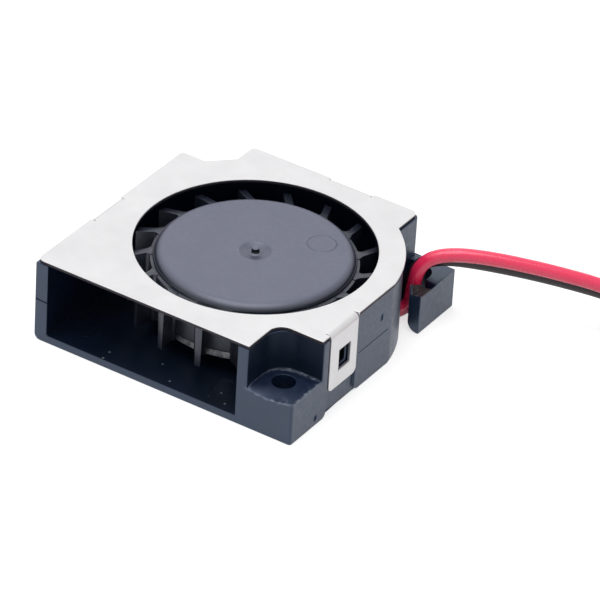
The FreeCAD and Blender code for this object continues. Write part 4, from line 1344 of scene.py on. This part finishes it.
    def sink_lug(self, bm: bmesh.types.BMesh, tab: TabPlace) -> None:
        """Turn the lug behind a tab's window into a rimmed socket whose inside takes a near-black finish of painted
        shade.

        Args:
            bm: the case.
            tab: the tab.
        """
        reach = self.socket_rim / 2
        inside = []
        for face in bm.faces:
            spots = [tab.local(vert.co) for vert in face.verts]
            if all(spot.x > self.lug_out and abs(spot.y - tab.window_shift) < tab.window_half + reach
                   and self.lug_band[0] < spot.z < self.lug_band[1] for spot in spots):
                inside.append(face)
        LOG.info("%d faces of a lug sink behind the tab at %.0f degrees", len(inside), tab.turn)
        bmesh.ops.delete(bm, geom=inside, context="FACES")
        loop = [edge for edge in bm.edges if edge.is_boundary]
        floor = bmesh.ops.contextual_create(bm, geom=loop)["faces"]
        bmesh.ops.recalc_face_normals(bm, faces=bm.faces)
        bmesh.ops.inset_region(bm, faces=floor, thickness=self.socket_rim * MM, depth=0.0)
        deep = bmesh.ops.extrude_discrete_faces(bm, faces=floor)["faces"]
        # The socket's faces take the finish of painted shade.
        for face in {face for edge in deep[0].edges for face in edge.link_faces}:
            face.material_index = CaseFinish.SOCKET.value
        inwards = Matrix.Rotation(math.radians(tab.turn), 3, "Z") @ Vector((-self.socket_depth * MM, 0.0, 0.0))
        bmesh.ops.translate(bm, verts=list({vert for face in deep for vert in face.verts}), vec=inwards)


@dataclass
class CoverSheet:
    """The sheet metal cover with its inlet and snap tabs.

    Sizes are millimetres, apart from edge, which is the width of the rounded edges in metres. The height of a
    sheared edge's normal lies within sheared.
    """

    edge: float = 0.00009
    plate_low: float = 10.3
    sheared: tuple[float, float] = (-0.95, 0.3)
    bend_side: float = 0.25
    bend_out: float = 16.0
    # The dark colour of the cut edges is painted shade on the sheared edges.
    metal: SheetMetal = SheetMetal(
        name="cover_sheet_metal", dark=(0.60, 0.595, 0.605), light=(0.71, 0.705, 0.715),
        roughness=0.42, stretch=(0.25, 1.0, 1.0), grain_depth=0.000003, metallic=0.85, cut_edge_shade=(0.05, 0.045, 0.055))

    def build(self, effects: Effects) -> None:
        """Make the cover.

        Args:
            effects: the shared shader groups.
        """
        cover = softened_copy("cover_plate", "cover_sheet", self.edge)
        self.mark_cut_edges(cover.data)
        place(cover, Body.CASE, self.metal.make(effects), "cover_steel", "cover_plate")

    def mark_cut_edges(self, mesh: bpy.types.Mesh) -> None:
        """Mark the plate's sheared edges, which take painted shade and are rough, and leave out the tabs' bends.

        Args:
            mesh: the cover's mesh.
        """
        marks = mesh.attributes.new(CUT_EDGE, "FLOAT", "FACE")
        count = 0
        for face in mesh.polygons:
            upright = self.sheared[0] < face.normal.z < self.sheared[1] and face.center.z > self.plate_low * MM
            bent = any(abs(seen.y) < tab.sheet_half + self.bend_side and seen.x > self.bend_out
                       for tab, seen in ((tab, tab.local(face.center)) for tab in TABS))
            if upright and not bent:
                marks.data[face.index].value = 1.0
                count += 1
        LOG.info("%d faces of the cover are cut edges", count)


@dataclass
class BladeRing:
    """Sizes of the blades, in millimetres and degrees, apart from edge, the width of the rounded edges in metres."""

    count: int = 17
    first: float = -1.7
    root: float = 12.0
    tip: float = 14.4
    top: float = 9.15
    low: float = 2.75
    thick_top: float = 0.95
    thick_low: float = 0.7
    lean: float = 4.6
    flare: float = 0.35
    flare_reach: float = 0.5
    sunk: float = 0.35
    edge: float = 0.00005
    sharp: float = 50.0
    shade: float = 30.0

    def outline(self, thickness: float, height: float) -> list[Vector]:
        """Outline of one blade at a height, about an axis through the origin.

        Args:
            thickness: its thickness outside the flare.
            height: the height in millimetres.

        Returns:
            The points, anticlockwise from the inner right corner.
        """
        half = thickness / 2
        stations = [(self.root - self.sunk, half + self.flare), (self.root, half + self.flare)]
        for share in (0.15, 0.35, 0.6, 1.0):
            radius = self.root + share * self.flare_reach
            stations.append((radius, half + self.flare * (1 - share) ** 2))
        stations.append((self.tip, half))
        sides = []
        for radius, offset in stations:
            lean = math.radians(self.lean * max(0.0, radius - self.root) / (self.tip - self.root))
            sides.append((radius, lean, offset / radius))
        right = [Vector((r * math.cos(a - o), r * math.sin(a - o), height)) * MM for r, a, o in sides]
        left = [Vector((r * math.cos(a + o), r * math.sin(a + o), height)) * MM for r, a, o in sides]
        return right + left[::-1]

    def blade(self) -> bpy.types.Object:
        """One blade as a closed mesh about an axis through the origin.

        Returns:
            The blade, ready to be repeated.
        """
        bm = bmesh.new()
        low = [bm.verts.new(spot) for spot in self.outline(self.thick_low, self.low)]
        high = [bm.verts.new(spot) for spot in self.outline(self.thick_top, self.top)]
        bm.faces.new(low[::-1])
        bm.faces.new(high)
        for index in range(len(low)):
            after = (index + 1) % len(low)
            bm.faces.new((low[index], low[after], high[after], high[index]))
        bmesh.ops.recalc_face_normals(bm, faces=bm.faces)
        soften(bm, self.edge, self.sharp)
        smooth(bm, self.shade)
        return mesh_object("blade_pattern", bm)

    def tree(self, material: bpy.types.Material) -> bpy.types.NodeTree:
        """Geometry tree that repeats the blade round the rotor's axis.

        Args:
            material: the blades' finish.

        Returns:
            The tree, with the number of blades, the first angle and the axis as inputs.
        """
        tree = bpy.data.node_groups.new("blade_ring", "GeometryNodeTree")
        for label, kind in (("Geometry", "NodeSocketGeometry"), ("Blades", "NodeSocketInt"),
                            ("First Angle", "NodeSocketFloat"), ("Axis", "NodeSocketVector")):
            tree.interface.new_socket(name=label, in_out="INPUT", socket_type=kind)
        tree.interface.new_socket(name="Geometry", in_out="OUTPUT", socket_type="NodeSocketGeometry")
        nodes = Nodes(tree)
        start, end = nodes.add("NodeGroupInput"), nodes.add("NodeGroupOutput")
        points = nodes.add("GeometryNodePoints")
        nodes.join(start.outputs["Blades"], points.inputs["Count"])
        nodes.join(start.outputs["Axis"], points.inputs["Position"])
        step = nodes.math("DIVIDE", 2 * math.pi, start.outputs["Blades"])
        turn = nodes.math("MULTIPLY_ADD", nodes.add("GeometryNodeInputIndex").outputs[0], step,
                          start.outputs["First Angle"])
        angles = nodes.add("ShaderNodeCombineXYZ")
        nodes.join(turn, angles.inputs["Z"])
        copies = nodes.add("GeometryNodeInstanceOnPoints")
        nodes.join(points.outputs[0], copies.inputs["Points"])
        nodes.join(start.outputs["Geometry"], copies.inputs["Instance"])
        nodes.join(angles.outputs[0], copies.inputs["Rotation"])
        real = nodes.add("GeometryNodeRealizeInstances")
        nodes.join(copies.outputs[0], real.inputs[0])
        dressed = nodes.add("GeometryNodeSetMaterial")
        dressed.inputs["Material"].default_value = material
        nodes.join(real.outputs[0], dressed.inputs["Geometry"])
        nodes.join(dressed.outputs[0], end.inputs[0])
        return tree

    def build(self, material: bpy.types.Material) -> bpy.types.Object:
        """Make the ring of blades as one plain mesh.

        Args:
            material: the blades' finish.

        Returns:
            The piece.
        """
        ring = self.blade()
        ring.name = "impeller_blades"
        modifier = ring.modifiers.new("ring", "NODES")
        modifier.node_group = self.tree(material)
        values = {"Blades": self.count, "First Angle": math.radians(self.first),
                  "Axis": [AXIS[0] * MM, AXIS[1] * MM, 0.0]}
        for item in modifier.node_group.interface.items_tree:
            if item.in_out == "INPUT" and item.name in values:
                modifier[item.identifier] = values[item.name]
        return settle(ring)


@dataclass
class Rotor:
    """Impeller, yoke and the parts that turn with them. Sizes in millimetres."""

    top: float = 10.1
    radius: float = 11.6
    round_off: float = 1.1
    sag: float = 0.01
    dimple: float = 1.9
    dimple_depth: float = 0.12
    nub: float = 0.45
    nub_height: float = 0.4
    nub_round: float = 0.1
    nub_reach: float = 0.03
    nub_steep: float = 0.8
    moat_depth: float = 0.05
    shell: float = 0.7
    boss: float = 2.4
    boss_end: float = 7.7
    bore: float = 0.75
    bore_end: float = 9.2
    skirt: float = 12.0
    skirt_top: float = 9.05
    skirt_end: float = 3.85
    yoke: float = 11.55
    yoke_end: float = 2.65
    yoke_hole: float = 2.7
    yoke_bend: float = 0.5
    yoke_lip: float = 0.12
    wall: float = 0.5
    blades: BladeRing = field(default_factory=BladeRing)
    # Painted light and shade: the hub's top takes pale colours from 9.58 mm up, as lit, and the blades and lower faces
    # keep the dark ones, as shaded.
    plastic: MouldedPlastic = MouldedPlastic(
        name="rotor_plastic", dark=(0.004, 0.006, 0.014), light=(0.006, 0.009, 0.019), roughness=0.43,
        specular=1.0, dust_share=0.02, rings=(((0.00579, 0.00589, 0.0101), 0.0017),), lit_top_from=9.58,
        mark_depth=0.00007,
        lit_top_dark=(0.078, 0.083, 0.128), lit_top_light=(0.090, 0.095, 0.145))
    # Painted shade: a near-black copy of the plastic for the nub's sides, darker than the lit top around it.
    shaded_nub_side: MouldedPlastic = MouldedPlastic(
        name="nub_painted_shade", dark=(0.002, 0.003, 0.006), light=(0.004, 0.005, 0.009), roughness=0.2, specular=0.25)
    steel: SheetMetal = SheetMetal(
        name="yoke_steel", dark=(0.10, 0.11, 0.12), light=(1.0, 1.0, 1.0), roughness=0.36,
        stretch=(1.0, 1.0, 0.45), fine=5200.0, coarse=3400.0, blotch_scale=1500.0, grain_depth=0.000014)

    def build(self, effects: Effects) -> None:
        """Make the turning parts that show.

        Args:
            effects: the shared shader groups.
        """
        plastic = self.plastic.make(effects)
        cap = self.cap()
        cap.data.materials.append(plastic)
        cap.data.materials.append(self.shaded_nub_side.make(effects))
        # The nub's steep sides take the painted shade.
        for face in cap.data.polygons:
            away = math.hypot(face.center.x / MM - AXIS[0], face.center.y / MM - AXIS[1])
            above = face.center.z > (self.top - self.dimple_depth) * MM
            if above and away < self.nub + self.nub_reach and abs(face.normal.z) < self.nub_steep:
                face.material_index = CapFinish.SHADED_NUB_SIDE.value
        place(cap, Body.ROTOR, plastic, "rotor_plastic", "impeller")
        place(self.blades.build(plastic), Body.ROTOR, plastic, "rotor_plastic", "impeller")
        place(self.cup(), Body.ROTOR, self.steel.make(effects), "yoke_steel", "rotor_yoke")

    def cap(self) -> bpy.types.Object:
        """Hub with its dimple, nub, rounded rim and stepped skirt.

        Returns:
            The piece.
        """
        floor = self.top - self.dimple_depth
        moat = floor - self.moat_depth
        under = self.top - self.shell
        profile = [(0.0, self.top + self.nub_height)]
        profile += arc_points((self.nub - self.nub_round, self.top + self.nub_height - self.nub_round),
                              self.nub_round, 90, 0, 3)
        profile += [(self.nub, floor + 0.06), (self.nub + 0.06, floor), (self.nub + 0.35, floor),
                    (self.nub + 0.42, moat), (self.nub + 0.55, moat), (self.nub + 0.62, floor),
                    (self.dimple - 0.14, floor), (self.dimple - 0.04, self.top - 0.02), (self.dimple + 0.04, self.top),
                    (self.dimple + 0.4, self.top), (5.0, self.top), (8.0, self.top), (10.2, self.top - self.sag)]
        profile += arc_points((self.radius - self.round_off, self.top - self.round_off - self.sag), self.round_off,
                              88, 0, 12)
        profile += [(self.radius, self.skirt_top + 0.08), (self.radius + 0.05, self.skirt_top + 0.02),
                    (self.radius + 0.1, self.skirt_top)]
        profile += arc_points((self.skirt - 0.08, self.skirt_top - 0.08), 0.08, 90, 0, 3)
        profile += [(self.skirt, self.skirt_top - 0.4), (self.skirt, self.skirt_end + 0.3)]
        profile += arc_points((self.skirt - 0.06, self.skirt_end + 0.06), 0.06, 0, -90, 3)
        profile += [(self.radius - 0.03, self.skirt_end), (self.radius - 0.03, under), (self.boss, under),
                    (self.boss, self.boss_end), (self.bore, self.boss_end), (self.bore, self.bore_end),
                    (0.0, self.bore_end)]
        bm = spin_profile(profile, ROUND_STEPS)
        smooth(bm, ROUND_ANGLE)
        return weighted(mesh_object("impeller_hub", bm))

    def cup(self) -> bpy.types.Object:
        """Drawn steel cup with a rolled foot.

        Returns:
            The piece.
        """
        under = self.top - self.shell
        bend, lip = self.yoke_bend, self.yoke_lip
        profile = [(self.yoke_hole, under), (self.yoke - bend, under)]
        profile += arc_points((self.yoke - bend, under - bend), bend, 90, 0, 5)[1:]
        profile += arc_points((self.yoke - lip, self.yoke_end + lip), lip, 0, -90, 3)
        profile += arc_points((self.yoke - self.wall + lip, self.yoke_end + lip), lip, -90, -180, 3)
        profile += [(self.yoke - self.wall, under - self.wall), (self.yoke_hole, under - self.wall),
                    (self.yoke_hole, under)]
        bm = spin_profile(profile, ROUND_STEPS)
        bmesh.ops.remove_doubles(bm, verts=bm.verts, dist=SEAM_MERGE)
        bmesh.ops.recalc_face_normals(bm, faces=bm.faces)
        smooth(bm, ROUND_ANGLE)
        return weighted(mesh_object("yoke_cup", bm))


@dataclass
class LeadSet:
    """The two leads from their solder joints over the hook to the wound-up end, its tie and its connector.

    Sizes are millimetres and degrees, apart from the widths of the rounded edges, which are metres.
    """

    thick: float = 1.65
    coil_centre: tuple[float, float] = (51.5, 19.6)
    coil_radius: float = 9.0
    pair: float = 1.72
    layer: float = 1.72
    first_layer: float = 1.08
    turn_steps: int = 15
    wound: tuple[float, float] = (78.0, -708.0)
    climbs: tuple[tuple[float, float], ...] = ((-150.0, -222.0), (-510.0, -582.0))
    contact_pitch: float = 2.5
    tie_edge: float = 0.00006
    plug_edge: float = 0.00012
    contact_edge: float = 0.00003
    red_route: tuple[Point, ...] = (
        (5.63, 3.74, 0.87), (9.55, 7.74, 0.87), (14.10, 12.28, 0.87), (14.45, 12.30, 4.55), (14.90, 12.60, 7.30),
        (16.65, 13.65, 8.95), (20.60, 15.80, 9.30), (27.50, 19.85, 8.05), (34.80, 24.35, 5.85),
        (41.50, 27.35, 1.70), (48.00, 27.60, 1.08))
    black_route: tuple[Point, ...] = (
        (4.34, 5.03, 0.87), (8.34, 8.95, 0.87), (12.88, 13.50, 0.87), (13.05, 13.80, 4.10), (13.80, 14.50, 6.15),
        (15.95, 15.20, 7.45), (20.10, 16.62, 7.82), (27.00, 20.70, 6.55), (34.20, 25.35, 4.25),
        (40.90, 29.15, 1.20), (48.00, 29.40, 1.08))
    red_skin: WireSkin = WireSkin("red_insulation", (1.0, 0.030, 0.125), (1.0, 0.018, 0.092), 0.27, 0.8)
    black_skin: WireSkin = WireSkin("black_insulation", (0.020, 0.012, 0.018), (0.013, 0.008, 0.013), 0.38, 0.45)
    tie_finish: InnerPart = InnerPart("tie_plastic", (0.012, 0.012, 0.013), (0.035, 0.035, 0.037), 0.5)
    plug_finish: MouldedPlastic = MouldedPlastic(
        name="connector_nylon", dark=(0.70, 0.68, 0.61), light=(0.80, 0.78, 0.71), roughness=0.42, specular=0.5,
        tint=(1.0, 1.0, 1.0), grain_depth=0.000004)
    contact_finish: InnerPart = InnerPart("contact_brass", (0.72, 0.60, 0.32), (0.85, 0.74, 0.45), 0.28, 1.0)

    def route(self, side: LeadSide) -> tuple[Point, ...]:
        """Points of a lead from its solder joint to the coil, in millimetres."""
        return self.red_route if side is LeadSide.RED else self.black_route

    def turns(self, side: LeadSide) -> list[Point]:
        """Points of one lead's turns, clockwise from where it meets the coil.

        Args:
            side: which lead.

        Returns:
            The points in millimetres.
        """
        reach = (self.coil_radius + side.outward * self.pair / 2) / math.cos(math.pi / self.turn_steps) ** 0.5
        points = []
        start, end = self.wound
        count = round((start - end) / (360.0 / self.turn_steps))
        for index in range(count + 1):
            angle = start + (end - start) * index / count
            turn = math.radians(angle)
            points.append((self.coil_centre[0] + reach * math.cos(turn), self.coil_centre[1] + reach * math.sin(turn),
                           self.level(angle)))
        return points

    def level(self, angle: float) -> float:
        """Height of the turns at an angle, climbing one layer just before each lap meets the last.

        Args:
            angle: angle in degrees, falling as the lead winds on.

        Returns:
            The height in millimetres.
        """
        layers = 0.0
        for begin, done in self.climbs:
            layers += min(1.0, max(0.0, (begin - angle) / (begin - done)))
        return self.first_layer + self.layer * layers

    def tail(self, side: LeadSide) -> list[Point]:
        """Last points of a lead, from the coil down into the connector.

        Args:
            side: which lead.

        Returns:
            The points in millimetres.
        """
        x = self.coil_centre[0] + self.coil_radius
        near = x + side.outward * self.pair / 2
        far = x + side.outward * self.contact_pitch / 2
        return [(near, 17.2, 4.30), (near * 0.6 + far * 0.4, 14.2, 3.75), (far, 10.8, 2.95), (far, 8.4, 2.85),
                (far, 5.7, 2.85)]

    def wire(self, side: LeadSide) -> bpy.types.Object:
        """One lead as a smooth curve.

        Args:
            side: which lead.

        Returns:
            The curve object.
        """
        points = list(self.route(side)) + self.turns(side) + self.tail(side)
        curve = bpy.data.curves.new(f"lead_wire_{side.value}", "CURVE")
        curve.dimensions = "3D"
        curve.bevel_depth = self.thick / 2 * MM
        curve.bevel_resolution = 6
        curve.resolution_u = 10
        curve.use_fill_caps = True
        spline = curve.splines.new("NURBS")
        spline.points.add(len(points) - 1)
        for point, where in zip(spline.points, millimetres(points)):
            point.co = (*where, 1.0)
        spline.order_u = 3
        spline.use_endpoint_u = True
        return object_of(curve.name, curve)

    def build(self, effects: Effects) -> None:
        """Make both leads, the tie and the connector.

        Args:
            effects: the shared shader groups.
        """
        tie = softened_copy("coil_tie", "lead_tie", self.tie_edge)
        place(tie, Body.CASE, self.tie_finish.make(effects), "tie_plastic", "coil_tie")
        plug = softened_copy("connector_housing", "plug_body", self.plug_edge)
        place(plug, Body.CASE, self.plug_finish.make(effects), "connector_plastic", "connector_housing")
        contacts = softened_copy("connector_contacts", "plug_contacts", self.contact_edge)
        place(contacts, Body.CASE, self.contact_finish.make(effects), "contact_brass", "connector_contacts")
        for side, skin in ((LeadSide.RED, self.red_skin), (LeadSide.BLACK, self.black_skin)):
            wire = self.wire(side)
            place(wire, Body.CASE, skin.make(effects), f"{side.value}_insulation", f"lead_{side.value}",
                  f"lead_{side.value}_tail", "lead_coil")


@dataclass
class MotorInsides:
    """Finishes of the motor's own parts, which keep their CAD shapes."""

    finishes: tuple[tuple[InnerPart, tuple[str, ...]], ...] = (
        (InnerPart("bonded_magnet", (0.030, 0.028, 0.027), (0.060, 0.056, 0.053), 0.6), ("rotor_magnet",)),
        (InnerPart("ground_steel", (0.55, 0.55, 0.56), (0.72, 0.72, 0.73), 0.2, 1.0, stretch=(1.0, 1.0, 0.1)),
         ("shaft",)),
        (InnerPart("clip_nylon", (0.70, 0.69, 0.64), (0.82, 0.81, 0.77), 0.45), ("retaining_clip", "oil_ring")),
        (InnerPart("sintered_bronze", (0.30, 0.19, 0.09), (0.52, 0.36, 0.17), 0.5, 1.0, 9000.0, 4000.0,
                   depth=0.00003), ("sleeve_bearing",)),
        (InnerPart("pad_polymer", (0.62, 0.55, 0.38), (0.74, 0.67, 0.49), 0.4), ("thrust_pad",)),
        (InnerPart("lamination_stack", (0.20, 0.20, 0.21), (0.42, 0.42, 0.43), 0.42, 1.0,
                   stretch=(0.05, 0.05, 2.0), depth=0.00003), ("stator_core",)),
        (InnerPart("insulator_nylon", (0.66, 0.64, 0.57), (0.78, 0.76, 0.69), 0.42),
         ("insulator_upper", "insulator_lower")),
        (InnerPart("enamelled_copper", (0.42, 0.13, 0.04), (0.80, 0.34, 0.13), 0.24, 1.0,
                   stretch=(3.0, 0.15, 0.15), depth=0.00004), ("winding_1", "winding_3")),
        (InnerPart("enamelled_copper_across", (0.42, 0.13, 0.04), (0.80, 0.34, 0.13), 0.24, 1.0,
                   stretch=(0.15, 3.0, 0.15), depth=0.00004), ("winding_2", "winding_4")),
        (InnerPart("pin_brass", (0.62, 0.52, 0.28), (0.80, 0.70, 0.42), 0.3, 1.0), ("terminal_pins",)),
        (InnerPart("board_mask", (0.012, 0.10, 0.035), (0.020, 0.16, 0.055), 0.3), ("circuit_board",)),
        (InnerPart("chip_epoxy", (0.012, 0.012, 0.012), (0.030, 0.030, 0.030), 0.55), ("driver_chip", "resistor")),
        (InnerPart("capacitor_ceramic", (0.30, 0.19, 0.10), (0.44, 0.30, 0.17), 0.4), ("capacitor",)),
        (InnerPart("solder_tin", (0.60, 0.60, 0.60), (0.80, 0.80, 0.81), 0.22, 1.0), ("solder_joints",)),
    )

    def build(self, effects: Effects) -> None:
        """Dress the CAD nodes that stay.

        Args:
            effects: the shared shader groups.
        """
        for finish, nodes in self.finishes:
            material = finish.make(effects)
            for name in nodes:
                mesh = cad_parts[name].data
                mesh.materials.clear()
                mesh.materials.append(material)
                LOG.info("%s keeps its CAD shape", name)


def main() -> None:
    """Build the scene in order."""
    logging.basicConfig(level=logging.INFO, format="%(name)s: %(message)s")
    bpy.context.scene.view_settings.view_transform = "Standard"
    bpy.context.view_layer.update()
    effects = Effects()
    Studio().build()
    LeadSet().build(effects)
    CaseMoulding().build(effects)
    CoverSheet().build(effects)
    Rotor().build(effects)
    MotorInsides().build(effects)


if __name__ == "__main__":
    main()
